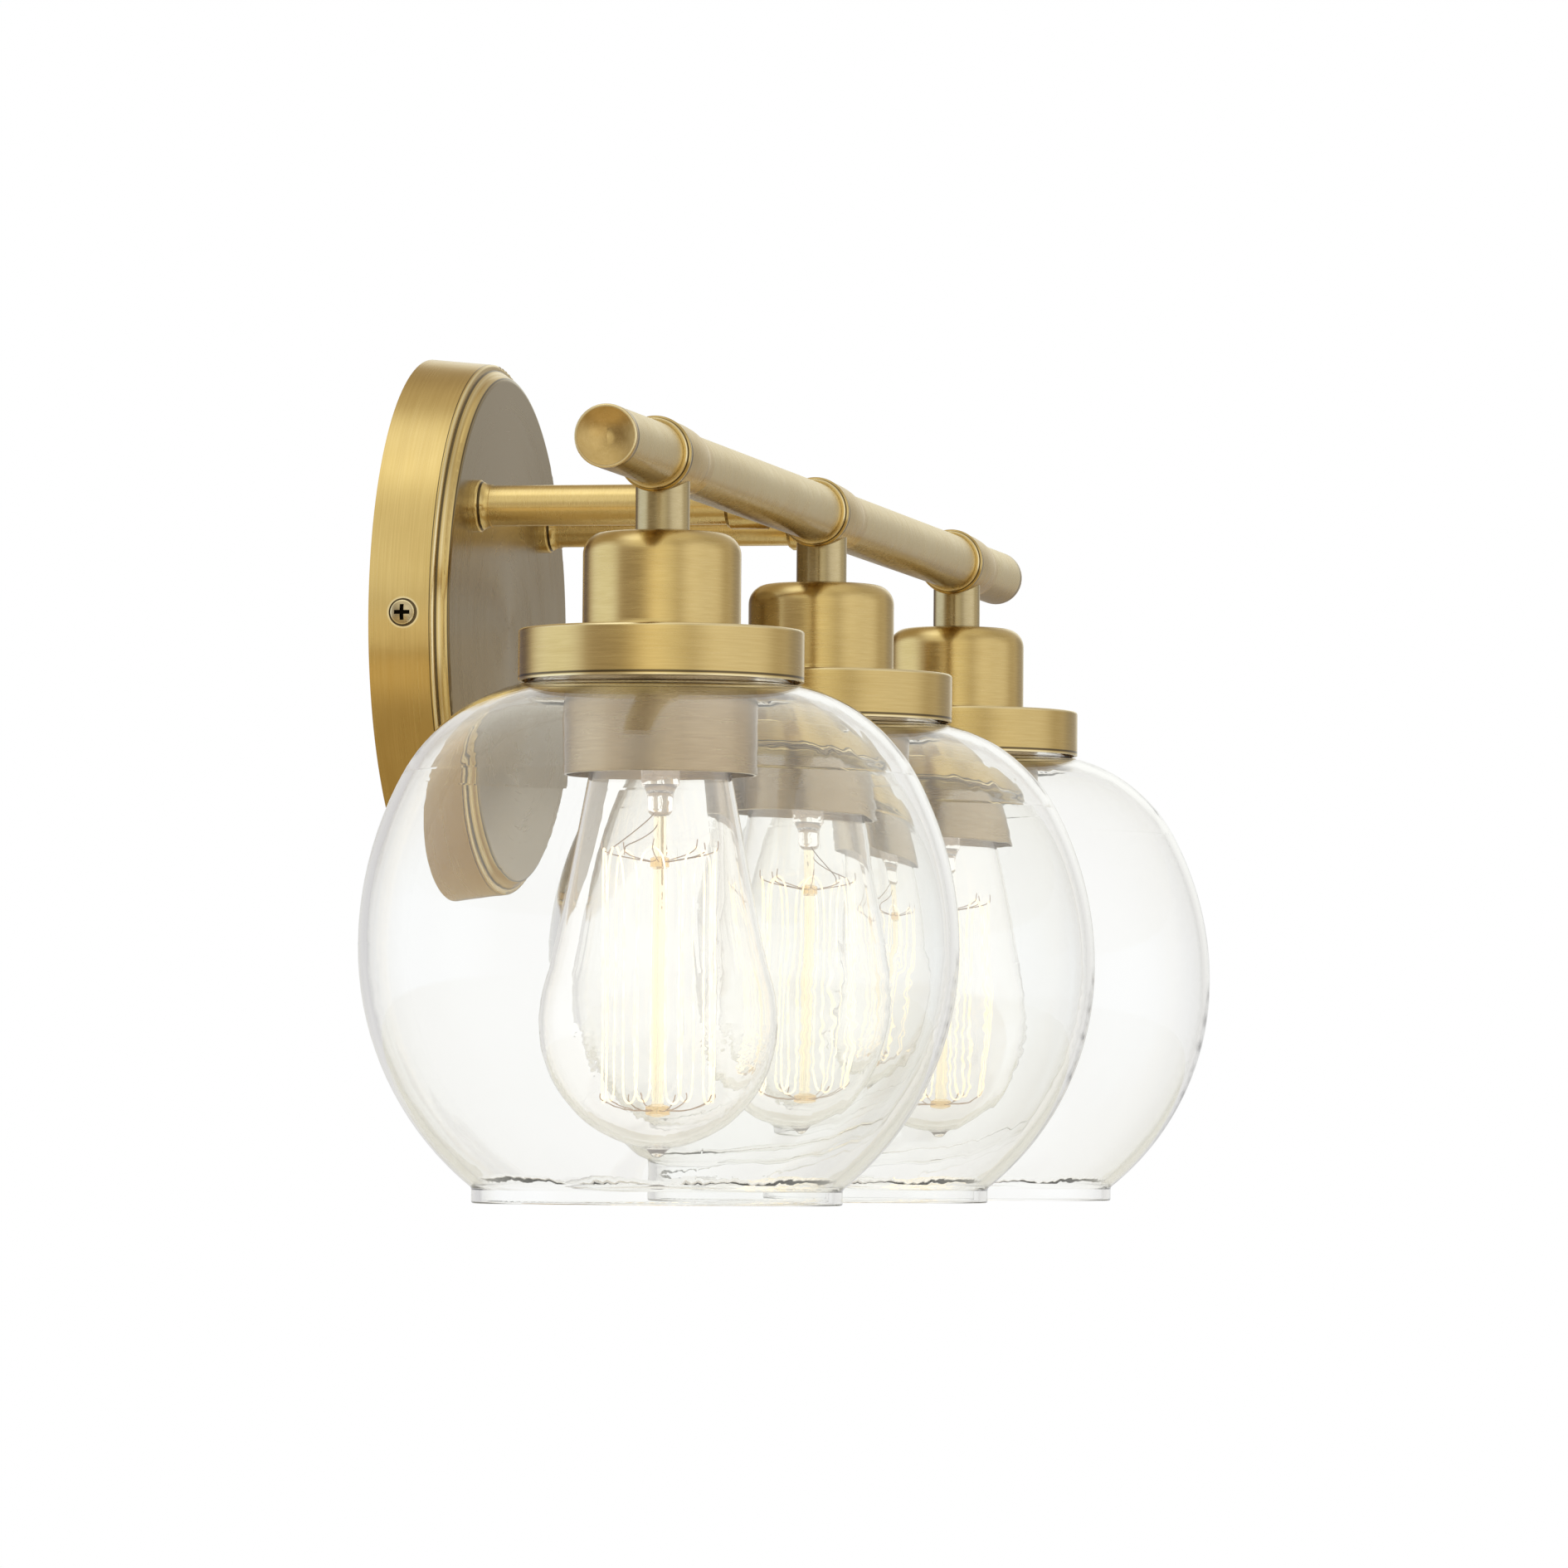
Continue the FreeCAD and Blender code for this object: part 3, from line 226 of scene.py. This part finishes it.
SCREW_LINE = (0, -0.0094, 0)        # both side screws lie along X through this point
SCREW_SEAT = 3.8 * MM
SCREW_FACE = 75.3 * MM              # nearer the middle than this, a head is open as its recess
RECESS_RADIUS = 2.4 * MM
HEAD_BRIM = 3.15 * MM
AXIS_FADE = 3.0 * MM                # brushed rings fade out nearer their axis than this
BRUSHED_GRAIN = 2300.0              # how fine the brushed rings are, per metre
FILAMENT_BASE = (0.30, 0.26, 0.18)
BULB_EMISSION = (1.0, 0.92, 0.87)


def brass(name, axis, centre, light=BRASS_LIGHT, deep=BRASS_DEEP, creases=(), edges=(), bands=(), pits=(),
          folded=False, brushed=0.7, relief=0.11, face=None):
    """Satin brass brushed in rings about an axis, with painted shade in its creases and painted highlights on
    its edges.

    A band is a painted lengthwise reflection, a highlight or a shade: the azimuth and elevation that it
    faces, how sharp it is, and its tone.
    A pit is the seat of a screw, painted dark inside as shade, with a painted highlight round it: the screw's
    axis, a point on it, and the seat's radius.
    A face is a flat front: the height along the axis where it starts, and its colour, the brass painted
    darker as shade.
    """
    finish = Finish(name, Metallic=1.0, Anisotropic=brushed, Anisotropic_Rotation=0.25, Coat_Weight=0.25,
                    Coat_Roughness=0.25)
    ring, out, along = finish.around(axis, centre, folded)
    ring = finish.vector("SCALE", ring, finish.span(out, 0.0, AXIS_FADE, 0.0, 1.0))
    level = finish.math("MULTIPLY_ADD", out, 0.8, along)
    rings = finish.vector("SCALE", tuple(axis), finish.math("MULTIPLY", level, BRUSHED_GRAIN))
    streaks = finish.noise(finish.vector("ADD", finish.vector("SCALE", ring, 3.2), rings), 1.0, 4.0, 0.6)
    broad = finish.vector("SCALE", tuple(axis), finish.math("MULTIPLY", level, BRUSHED_GRAIN * 0.14))
    wide = finish.noise(finish.vector("ADD", finish.vector("SCALE", ring, 1.5), broad), 1.0, 2.0, 0.5)
    cloud = finish.noise(finish.place(), 38.0, 3.0, 0.55)
    tone = finish.math("ADD", finish.math("MULTIPLY", streaks, 0.6), finish.math("MULTIPLY", cloud, 0.4))
    colour = finish.blend(finish.span(tone, 0.32, 0.66, 0.0, 1.0), deep, light)
    if face:
        start, face_shade = face
        # The flat face gets the brass painted darker as shade.
        flat = finish.span(along, start * MM, (start + 0.3) * MM, 1.0, 0.0)
        colour = finish.blend(flat, colour, face_shade)
    # Painted reflection bands: lighter or darker where the surface faces a given way.
    for azimuth, elevation, sharpness, strength in bands:
        facing = finish.vector("DOT_PRODUCT", ring, tuple(direction(azimuth, elevation)))
        near = finish.math("POWER", finish.math("MAXIMUM", facing, 0.0), sharpness)
        shade = BAND_HIGHLIGHT if strength > 0 else BAND_SHADE
        colour = finish.blend(finish.math("MULTIPLY", near, abs(strength)), colour, shade)
    # Painted highlights on the edges, painted shade in the creases.
    for circles, share, tint in ((edges, 0.7, EDGE_HIGHLIGHT), (creases, 0.9, HOLLOW_SHADE)):
        if circles:
            painted_trace = finish.math("MULTIPLY", finish.traces(out, along, circles), share)
            colour = finish.blend(painted_trace, colour, tint)
    for pit_axis, spot, radius in pits:
        # Painted highlight round the screw seat, painted shade inside it.
        gap = finish.around(pit_axis, spot)[1]
        painted_rim = finish.span(gap, radius * 1.04, radius * 1.2, 0.7, 0.0, smooth=True)
        colour = finish.blend(painted_rim, colour, EDGE_HIGHLIGHT)
        colour = finish.blend(finish.span(gap, radius, radius * 1.03, 0.95, 0.0), colour, HOLLOW_SHADE)
    finish.set("Base Color", colour)
    matt = finish.math("ADD", finish.math("MULTIPLY", streaks, 0.5), finish.math("MULTIPLY", wide, 0.5))
    finish.set("Roughness", finish.span(matt, 0.3, 0.7, 0.20, 0.30))
    letter = "XYZ"[max(range(3), key=lambda number: abs(axis[number]))]
    tangent = finish.add("ShaderNodeTangent", direction_type="RADIAL", axis=letter)
    finish.set("Tangent", tangent.outputs[0])
    finish.bump(streaks, relief, 0.00012)
    return finish


def metal(name, light, deep, rough=(0.25, 0.4), scale=900.0):
    """Plain metal with a fine grain and cloudy tone."""
    finish = Finish(name, Metallic=1.0)
    grain = finish.noise(finish.place(), scale, 3.0, 0.6)
    cloud = finish.noise(finish.place(), scale * 0.08, 2.0, 0.5)
    finish.set("Base Color", finish.blend(finish.span(cloud, 0.35, 0.65, 0.0, 1.0), deep, light))
    finish.set("Roughness", finish.span(grain, 0.3, 0.7, rough[0], rough[1]))
    finish.bump(grain, 0.12, 0.0001)
    return finish


def recessed(finish):
    """Paints a highlight on the brim of a side screw's head and paints shade into its cross recess."""
    out, along = finish.around(X, SCREW_LINE)[1:]
    colour = finish.shader.inputs["Base Color"].links[0].from_socket
    # Painted highlight round the brim of the head.
    brim = finish.span(out, HEAD_BRIM - 0.25 * MM, HEAD_BRIM, 0.0, 0.8)
    colour = finish.blend(brim, colour, EDGE_HIGHLIGHT)
    # Painted shade in the cross recess.
    deep = finish.span(finish.math("ABSOLUTE", along), SCREW_FACE - 0.1 * MM, SCREW_FACE, 1.0, 0.0)
    middle = finish.span(out, RECESS_RADIUS - 0.15 * MM, RECESS_RADIUS, 1.0, 0.0)
    finish.set("Base Color", finish.blend(finish.math("MULTIPLY", deep, middle), colour, RECESS_SHADE))
    return finish


def coated(name, light, deep, rough=(0.3, 0.45), scale=500.0, **constants):
    """Plastic, rubber, enamel or ceramic: mottled a little in tone and in gloss."""
    finish = Finish(name, **constants)
    grain = finish.noise(finish.place(), scale, 3.0, 0.55)
    cloud = finish.noise(finish.place(), scale * 0.1, 2.0, 0.5)
    finish.set("Base Color", finish.blend(finish.span(cloud, 0.35, 0.65, 0.0, 1.0), deep, light))
    finish.set("Roughness", finish.span(grain, 0.3, 0.7, rough[0], rough[1]))
    finish.bump(grain, 0.08, 0.00015)
    return finish


def glass(name, tint, ior=1.47, wave=0.02, scale=22.0, painted_rim=(0.58, 0.575, 0.565)):
    """Clear glass that casts no hard shadow, with painted shade where it is seen edge on."""
    finish = Finish(name, Base_Color=tint, Roughness=0.0, IOR=ior, Transmission_Weight=1.0)
    # Painted shade: darker where the glass is seen edge on.
    grazing = finish.add("ShaderNodeLayerWeight", {"Blend": 0.5}).outputs["Facing"]
    finish.set("Base Color", finish.blend(finish.span(grazing, 0.84, 0.97, 0.0, 1.0), tint, painted_rim))
    swirl = finish.noise(finish.place(), scale, 2.0, 0.5)
    finish.bump(swirl, wave, 0.002)
    clear = finish.add("ShaderNodeBsdfTransparent")
    clear.inputs[0].default_value = (*tint, 1)
    path = finish.add("ShaderNodeLightPath")
    mix = finish.add("ShaderNodeMixShader", {0: path.outputs["Is Shadow Ray"], 1: finish.shader.outputs[0],
                                             2: clear.outputs[0]})
    end = finish.tree.nodes["Material Output"]
    finish.tree.links.new(mix.outputs[0], end.inputs["Surface"])
    return finish


def tint_by_height(finish, top, steps):
    """Colours a finish by height: the top's colour, then levels in millimetres and the colour below each."""
    height = finish.add("ShaderNodeSeparateXYZ", {0: finish.place()}).outputs[2]
    cloud = finish.noise(finish.place(), 300.0, 2.0, 0.5)
    colour = finish.blend(finish.span(cloud, 0.3, 0.7, 0.0, 1.0), tuple(part * 0.97 for part in top), top)
    for level, below in steps:
        reached = finish.span(height, (level - 0.2) * MM, (level + 0.2) * MM, 1.0, 0.0)
        colour = finish.blend(reached, colour, below)
    finish.set("Base Color", colour)


def glowing(name, colour, strength):
    """A hot wire, a little warmer in places."""
    finish = Finish(name, Metallic=0.0, Roughness=0.5, Emission_Strength=strength)
    cloud = finish.noise(finish.place(), 260.0, 2.0, 0.5)
    finish.set("Base Color", (*FILAMENT_BASE, 1))
    warmer = tuple(c * w for c, w in zip(colour, (1.0, 0.93, 0.8)))
    finish.set("Emission Color", finish.blend(finish.span(cloud, 0.35, 0.65, 0.0, 1.0), warmer, colour))
    return finish


canopy_brass = brass("canopy_brass", Y, (0, 0, 0), creases=CANOPY_CREASES, edges=CANOPY_EDGES,
                     pits=((X, SCREW_LINE, SCREW_SEAT),), relief=0.05, face=(-20.9, FACE_SHADED_BRASS))
paint("canopy", canopy_brass)
# The bar and arms are painted lighter and the end caps darker, as light and shade.
bar_brass = brass("bar_brass", X, bar_at, BAR_LIT_LIGHT, BAR_LIT_DEEP, creases=BAR_CREASES, bands=BAR_BANDS)
paint("bar_tube", bar_brass)
paint("bar_end_caps", brass("end_cap_brass", X, bar_at, CAP_SHADED_LIGHT, CAP_SHADED_DEEP, creases=BAR_CREASES,
                            edges=CAP_EDGES, brushed=0.0))
for label, side in (("arm_left", -1), ("arm_right", 1)):
    arm_line = (side * abs(arm_at.x), arm_at.y, arm_at.z)
    paint(label, brass(f"{label}_brass", Y, arm_line, ARM_LIT_LIGHT, ARM_LIT_DEEP))
both_arms = brass("arm_trim_brass", Y, (abs(arm_at.x), 0, arm_at.z), creases=FOOT_CREASES, folded=True)
for label in ("arm_feet", "arm_ferrules"):
    paint(label, both_arms)
for lamp in LAMPS:
    ring_brass = brass(f"lamp_{lamp}_brass", Z, lamp_at[lamp], creases=LAMP_CREASES, edges=LAMP_EDGES,
                       bands=CUP_BANDS)
    knuckle_brass = brass(f"knuckle_{lamp}_brass", X, lamp_at[lamp] + Z * bar_at.z,
                          creases=KNUCKLE_CREASES, edges=KNUCKLE_EDGES)
    # Sleeves are painted darker as shade, and stems greyer as a painted sheen.
    sleeve_brass = brass(f"sleeve_{lamp}_brass", Z, lamp_at[lamp], SLEEVE_SHADED_LIGHT, SLEEVE_SHADED_DEEP,
                         bands=SLEEVE_BANDS)
    stem_brass = brass(f"stem_{lamp}_brass", Z, lamp_at[lamp], STEM_SHEEN_LIGHT, STEM_SHEEN_DEEP, creases=LAMP_CREASES,
                       bands=STEM_BANDS)
    for label in ("socket_cup", "collar"):
        paint(f"{label}_{lamp}", ring_brass)
    paint(f"stem_{lamp}", stem_brass)
    paint(f"knuckle_{lamp}", knuckle_brass)
    paint(f"retaining_sleeve_{lamp}", sleeve_brass)

globe_glass = glass("globe_glass", (0.988, 0.990, 0.982), wave=0.008, painted_rim=(0.48, 0.48, 0.46))
bulb_glass = glass("bulb_glass", (0.994, 0.992, 0.985), wave=0.01, scale=60.0, painted_rim=(0.34, 0.33, 0.28))
mount_glass = glass("mount_glass", (0.95, 0.95, 0.93), wave=0.15, scale=240.0)
# The filament lights up the glass around it a little.
for finish, strength in ((bulb_glass, 0.02), (mount_glass, 0.08)):
    finish.set("Emission Color", (*BULB_EMISSION, 1))
    finish.set("Emission Strength", strength)
tint_by_height(mount_glass, (0.97, 0.97, 0.95), ((-60.0, ROD_GOLD), (-70.9, BUTTON_GOLD), (-73.3, ROD_GOLD),
                                                 (-133.9, BUTTON_GOLD)))
porcelain = coated("porcelain", (0.86, 0.85, 0.81), (0.82, 0.8, 0.75), (0.12, 0.2), 60.0, Coat_Weight=0.5)
nickel = metal("nickel", (0.72, 0.70, 0.66), (0.64, 0.62, 0.57), (0.18, 0.3))
contact_brass = metal("contact_brass", (0.80, 0.66, 0.38), (0.70, 0.55, 0.28), (0.2, 0.32))
black_glass = coated("black_glass", (0.02, 0.02, 0.024), (0.012, 0.012, 0.014), (0.05, 0.12), 300.0)
filament_glow = glowing("filament_glow", (1.0, 0.90, 0.71), 1.32)
support_metal = metal("support_metal", (0.66, 0.53, 0.44), (0.54, 0.41, 0.33), (0.3, 0.5), 2500.0)
zinc = metal("zinc", (0.66, 0.68, 0.70), (0.52, 0.55, 0.58), (0.25, 0.42), 260.0)
screw_metal = recessed(metal("screw_metal", (0.55, 0.45, 0.28), (0.42, 0.33, 0.19), (0.22, 0.34), 1400.0))
green_metal = coated("green_metal", (0.04, 0.24, 0.08), (0.02, 0.15, 0.05), (0.25, 0.35), 900.0, Metallic=0.6)
rubber = coated("rubber", (0.80, 0.79, 0.74), (0.72, 0.71, 0.66), (0.5, 0.65), 900.0)
nut_plastic = coated("nut_plastic", (0.70, 0.22, 0.04), (0.58, 0.17, 0.03), (0.35, 0.5), 700.0)
black_vinyl = coated("black_vinyl", (0.02, 0.02, 0.02), (0.012, 0.012, 0.012), (0.3, 0.42), 900.0)
white_vinyl = coated("white_vinyl", (0.82, 0.81, 0.77), (0.75, 0.74, 0.70), (0.3, 0.42), 900.0)
copper = metal("copper", (0.78, 0.40, 0.24), (0.62, 0.28, 0.16), (0.22, 0.36), 1500.0)

for label, finish in (
        ("wall_bracket", zinc), ("canopy_screw_left", screw_metal), ("canopy_screw_right", screw_metal),
        ("ground_screw", green_metal), ("arm_nipples", zinc), ("arm_lock_nuts", zinc),
        ("lampholders", porcelain), ("screw_shells", nickel), ("centre_contacts", contact_brass),
        ("globe_gaskets", rubber), ("retaining_rings", zinc), ("stem_nipples", zinc),
        ("stem_lock_nuts", zinc), ("wire_connectors", nut_plastic), ("hot_leads", black_vinyl),
        ("neutral_leads", white_vinyl), ("ground_wire", copper)):
    paint(label, finish)
for lamp in LAMPS:
    for label, finish in (
            ("globe", globe_glass), ("bulb_glass", bulb_glass), ("bulb_cap", nickel),
            ("bulb_insulator", black_glass), ("bulb_mount", mount_glass),
            ("bulb_filament", filament_glow), ("bulb_supports", support_metal)):
        paint(f"{label}_{lamp}", finish)


# ---------------------------------------------------------------- filaments and their supports

HAIRPINS = 8
HAIRPIN_HALF = 8.5          # degrees from a hairpin's middle to its legs
CAGE_RADIUS = 14.3 * MM
CAGE_TOP = -70.0 * MM
CAGE_BOTTOM = -131.0 * MM
CAGE_TURN = {1: 140.5, 2: 240.0, 3: 140.5}      # direction of the gap between the cage's two ends
FILAMENT_RADIUS = 0.27 * MM
SUPPORT_RADIUS = 0.15 * MM

# Points along a wire: millimetres from the lamp's axis, degrees round it, millimetres above the cage's end.
LOW_SUPPORT = ((2.6, 0, -4.0), (6.5, 0, -4.3), (11.5, 0, -3.0), (14.2, 0, -1.7), (15.1, 0, -1.1),
               (15.2, 1.5, 0.2))
HIGH_SUPPORT = ((2.0, 0, -2.0), (6.5, 0, -1.2), (11.5, 0, -0.3), (14.2, 0, 0.7), (15.0, 0, 1.4),
                (14.8, 1.5, 3.4))


def around_lamp(lamp, radius, degrees, height):
    turn = math.radians(degrees)
    return lamp_at[lamp] + Vector((radius * math.cos(turn), radius * math.sin(turn), height))


def wires(name, paths, radius, finish, body, replaced):
    """Round wires along smooth paths, one spline each, standing for a CAD node."""
    curve = bpy.data.curves.new(name, "CURVE")
    curve.dimensions = "3D"
    curve.bevel_depth = radius
    curve.bevel_resolution = 3
    curve.resolution_u = 4
    curve.use_fill_caps = True
    for points in paths:
        spline = curve.splines.new("NURBS")
        spline.points.add(len(points) - 1)
        for point, place in zip(spline.points, points):
            point.co = (*place, 1)
        spline.order_u = 3
        spline.use_endpoint_u = True
    curve.materials.append(finish.material)
    piece = bpy.data.objects.new(name, curve)
    bpy.context.scene.collection.objects.link(piece)
    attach(piece, body)
    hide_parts(*replaced)


def filament_points(lamp, chance):
    """Down one leg, round the hook below and up the next leg, eight times round the cage."""
    step = 360 / HAIRPINS
    rise = [CAGE_BOTTOM + (CAGE_TOP - CAGE_BOTTOM) * part for part in (0.03, 0.3, 0.62, 0.97)]
    points = []
    for hairpin in range(HAIRPINS):
        middle = CAGE_TURN[lamp] + step * (hairpin + 0.5)
        for side, heights in ((-1, reversed(rise)), (1, rise)):
            leg = middle + HAIRPIN_HALF * side
            run = [around_lamp(lamp, CAGE_RADIUS + chance.uniform(-0.15, 0.15) * MM,
                               leg + chance.uniform(-0.7, 0.7), height) for height in heights]
            hook = around_lamp(lamp, CAGE_RADIUS, middle + 5.0 * side, CAGE_BOTTOM - 2.0 * MM)
            peak = around_lamp(lamp, CAGE_RADIUS, middle + (step / 2 - 3.5) * side, CAGE_TOP + 1.4 * MM)
            points += [peak, *run, hook] if side < 0 else [hook, *run, peak]
    return points


def support_paths(lamp):
    """Wires from the two buttons out to each bend, their ends turned round the filament."""
    step = 360 / HAIRPINS
    paths = []
    for hairpin in range(HAIRPINS):
        low = CAGE_TURN[lamp] + step * (hairpin + 0.5)
        high = CAGE_TURN[lamp] + step * (hairpin + 1)
        paths.append([around_lamp(lamp, radius * MM, low + turn, CAGE_BOTTOM + height * MM)
                      for radius, turn, height in LOW_SUPPORT])
        if hairpin < HAIRPINS - 1:
            paths.append([around_lamp(lamp, radius * MM, high + turn, CAGE_TOP + height * MM)
                          for radius, turn, height in HIGH_SUPPORT])
    return paths


def lead_in_paths(lamp):
    """The two wires that leave the pinch and run down to the ends of the filament."""
    paths = []
    for side, drop in ((-1, 0.0), (1, 3.4)):
        paths.append([around_lamp(lamp, radius * MM, CAGE_TURN[lamp] + turn * side, CAGE_TOP + height * MM)
                      for radius, turn, height in ((1.2, 20, 10.8 - drop), (2.2, 18, 9.4 - drop),
                                                   (7.5, 10, 5.4 - drop * 0.6), (12.6, 10, 1.8),
                                                   (14.0, 13, 0.8), (14.3, 14, -0.6))])
    return paths


def make_filaments():
    for lamp in LAMPS:
        chance = random.Random(40 + lamp)
        wires(f"cage_{lamp}", [filament_points(lamp, chance)], FILAMENT_RADIUS, filament_glow, f"bulb_{lamp}",
              [f"bulb_filament_{lamp}"])
        wires(f"hooks_{lamp}", support_paths(lamp) + lead_in_paths(lamp), SUPPORT_RADIUS, support_metal,
              f"bulb_{lamp}", [f"bulb_supports_{lamp}"])


make_filaments()


# ---------------------------------------------------------------- room, light and camera

FLOOR_RADIUS = 2.6
FLOOR_LEVEL = -0.52
FLOOR_SIDES = 96
FLOOR_MIRRORED = (0.60, 0.48, 0.29)     # the floor as brushed metal mirrors it, painted darker and warmer as shade
FLOOR_GLOW = (0.98, 0.80, 0.50)         # the same, in a pool of light on the camera's side
FLOOR_POOL = (-1.45, 0.3, 0)


def make_floor():
    """A wide pale disc well below the lamps."""
    turns = [2 * math.pi * step / FLOOR_SIDES for step in range(FLOOR_SIDES)]
    points = [(FLOOR_RADIUS * math.cos(turn), FLOOR_RADIUS * math.sin(turn), 0) for turn in turns]
    mesh = bpy.data.meshes.new("floor")
    mesh.from_pydata(points, [], [tuple(range(FLOOR_SIDES))])
    floor = bpy.data.objects.new("floor", mesh)
    floor.location = (0, 0, FLOOR_LEVEL)
    bpy.context.scene.collection.objects.link(floor)
    finish = Finish("floor_paint", Roughness=0.7)
    cloud = finish.noise(finish.place(), 0.8, 2.0, 0.5)
    pale = finish.blend(finish.span(cloud, 0.35, 0.65, 0.0, 1.0), (0.95, 0.95, 0.94), (0.97, 0.97, 0.96))
    # Brushed metal sees the floor painted darker and warmer, with a painted pool of light; the camera and
    # glass see it pale.
    path = finish.add("ShaderNodeLightPath").outputs
    sharp = finish.math("SUBTRACT", 1.0, path["Is Singular Ray"])
    mirrored = finish.math("MULTIPLY", path["Is Glossy Ray"], sharp)
    reach = finish.vector("LENGTH", finish.vector("SUBTRACT", finish.place(), FLOOR_POOL), (0, 0, 0))
    warm = finish.blend(finish.span(reach, 0.35, 0.85, 1.0, 0.0, smooth=True), FLOOR_MIRRORED, FLOOR_GLOW)
    finish.set("Base Color", finish.blend(mirrored, pale, warm))
    mesh.materials.append(finish.material)


WHITE = (1, 1, 1)
GLASS_HAZE = 0.6
ROOM_LIGHT = (0.60, 0.57, 0.50)

# Soft lights and dark flags round the fixture: azimuth, elevation, inner and outer angle, colour.
LIGHTS = (
    (6, 15, 4, 22, (0.42, 0.46, 0.44)),         # beyond the lamps and above them
    (6, -12, 4, 20, (-0.26, -0.24, -0.16)),     # flag, beyond and below
    (334, 4, 4, 22, (-0.18, -0.17, -0.14)),     # flag, beyond on the right
    (42, 5, 4, 24, (-0.42, -0.41, -0.33)),      # flag, beyond on the left
    (96, 5, 8, 36, (0.44, 0.60, 0.85)),         # window on the left
    (148, 5, 4, 27, (-0.25, -0.27, -0.27)),     # flag, left of the camera
    (195, 10, 4, 26, (0.44, 0.47, 0.45)),       # beside the camera
    (255, 5, 12, 46, (0.47, 0.53, 0.65)),       # key softbox, right
    (165, 42, 8, 40, (0.36, 0.38, 0.34)),       # high, on the camera's side
    (120, 70, 6, 28, (0.56, 0.62, 0.66)),       # nearly overhead, on the left
    (45, 45, 8, 46, (-0.16, -0.22, -0.30)),     # flag, high and beyond on the left
    (180, -12, 6, 24, (0.30, 0.26, 0.16)),      # low, on the camera's side
    (0, 90, 8, 46, (0.22, 0.23, 0.21)))         # overhead


def make_world():
    """White to look at; a soft studio, darker ahead of the camera, to light and to be reflected."""
    world = bpy.data.worlds.new("studio")
    bpy.context.scene.world = world
    world.use_nodes = True
    world.node_tree.nodes.clear()
    sky = Nodes(world.node_tree)
    looking = sky.add("ShaderNodeTexCoord").outputs["Generated"]
    light = ROOM_LIGHT
    for azimuth, elevation, inner, outer, colour in LIGHTS:
        facing = sky.vector("DOT_PRODUCT", looking, tuple(direction(azimuth, elevation)))
        lobe = sky.span(facing, math.cos(math.radians(outer)), math.cos(math.radians(inner)), 0.0, 1.0,
                        smooth=True)
        light = sky.vector("ADD", light, sky.vector("SCALE", colour, lobe))
    path = sky.add("ShaderNodeLightPath").outputs
    straight = sky.math("LESS_THAN", sky.math("ADD", path["Glossy Depth"], path["Diffuse Depth"]), 0.5)
    # What glass mirrors or bends is paler than what brushed metal mirrors.
    haze = sky.math("MULTIPLY", path["Is Singular Ray"], GLASS_HAZE)
    soft = sky.add("ShaderNodeMix", {0: haze, 4: light, 5: WHITE}, data_type="VECTOR")
    level = sky.add("ShaderNodeMix", {0: straight, 4: soft.outputs[1], 5: WHITE}, data_type="VECTOR")
    ground = sky.add("ShaderNodeBackground", {"Color": level.outputs[1]})
    sky.add("ShaderNodeOutputWorld", {"Surface": ground.outputs[0]})


CAMERA_AT = (-2.36246, -0.59491, -0.14621)
CAMERA_AZIMUTH = 11.844
CAMERA_ELEVATION = 2.439
CAMERA_ROLL = 0.434
SENSOR_WIDTH = 36.0
LENS = 200.82


def make_camera():
    """A long lens near the bar's level, looking along the bar from its left end."""
    roll = math.radians(CAMERA_ROLL)
    forward = direction(CAMERA_AZIMUTH, CAMERA_ELEVATION)
    level = forward.cross(Z).normalized()
    upright = level.cross(forward)
    right = level * math.cos(roll) + upright * math.sin(roll)
    up = upright * math.cos(roll) - level * math.sin(roll)
    data = bpy.data.cameras.new("camera")
    data.sensor_width = SENSOR_WIDTH
    data.lens = LENS
    data.clip_end = 20.0
    camera = bpy.data.objects.new("camera", data)
    turn = Matrix((right, up, -forward)).transposed()
    camera.matrix_world = Matrix.Translation(CAMERA_AT) @ turn.to_4x4()
    bpy.context.scene.collection.objects.link(camera)
    bpy.context.scene.camera = camera


make_floor()
make_world()
make_camera()
scene = bpy.context.scene
scene.view_settings.view_transform = "Standard"
scene.cycles.max_bounces = 40
scene.cycles.transmission_bounces = 36
scene.cycles.glossy_bounces = 12
scene.cycles.transparent_max_bounces = 48
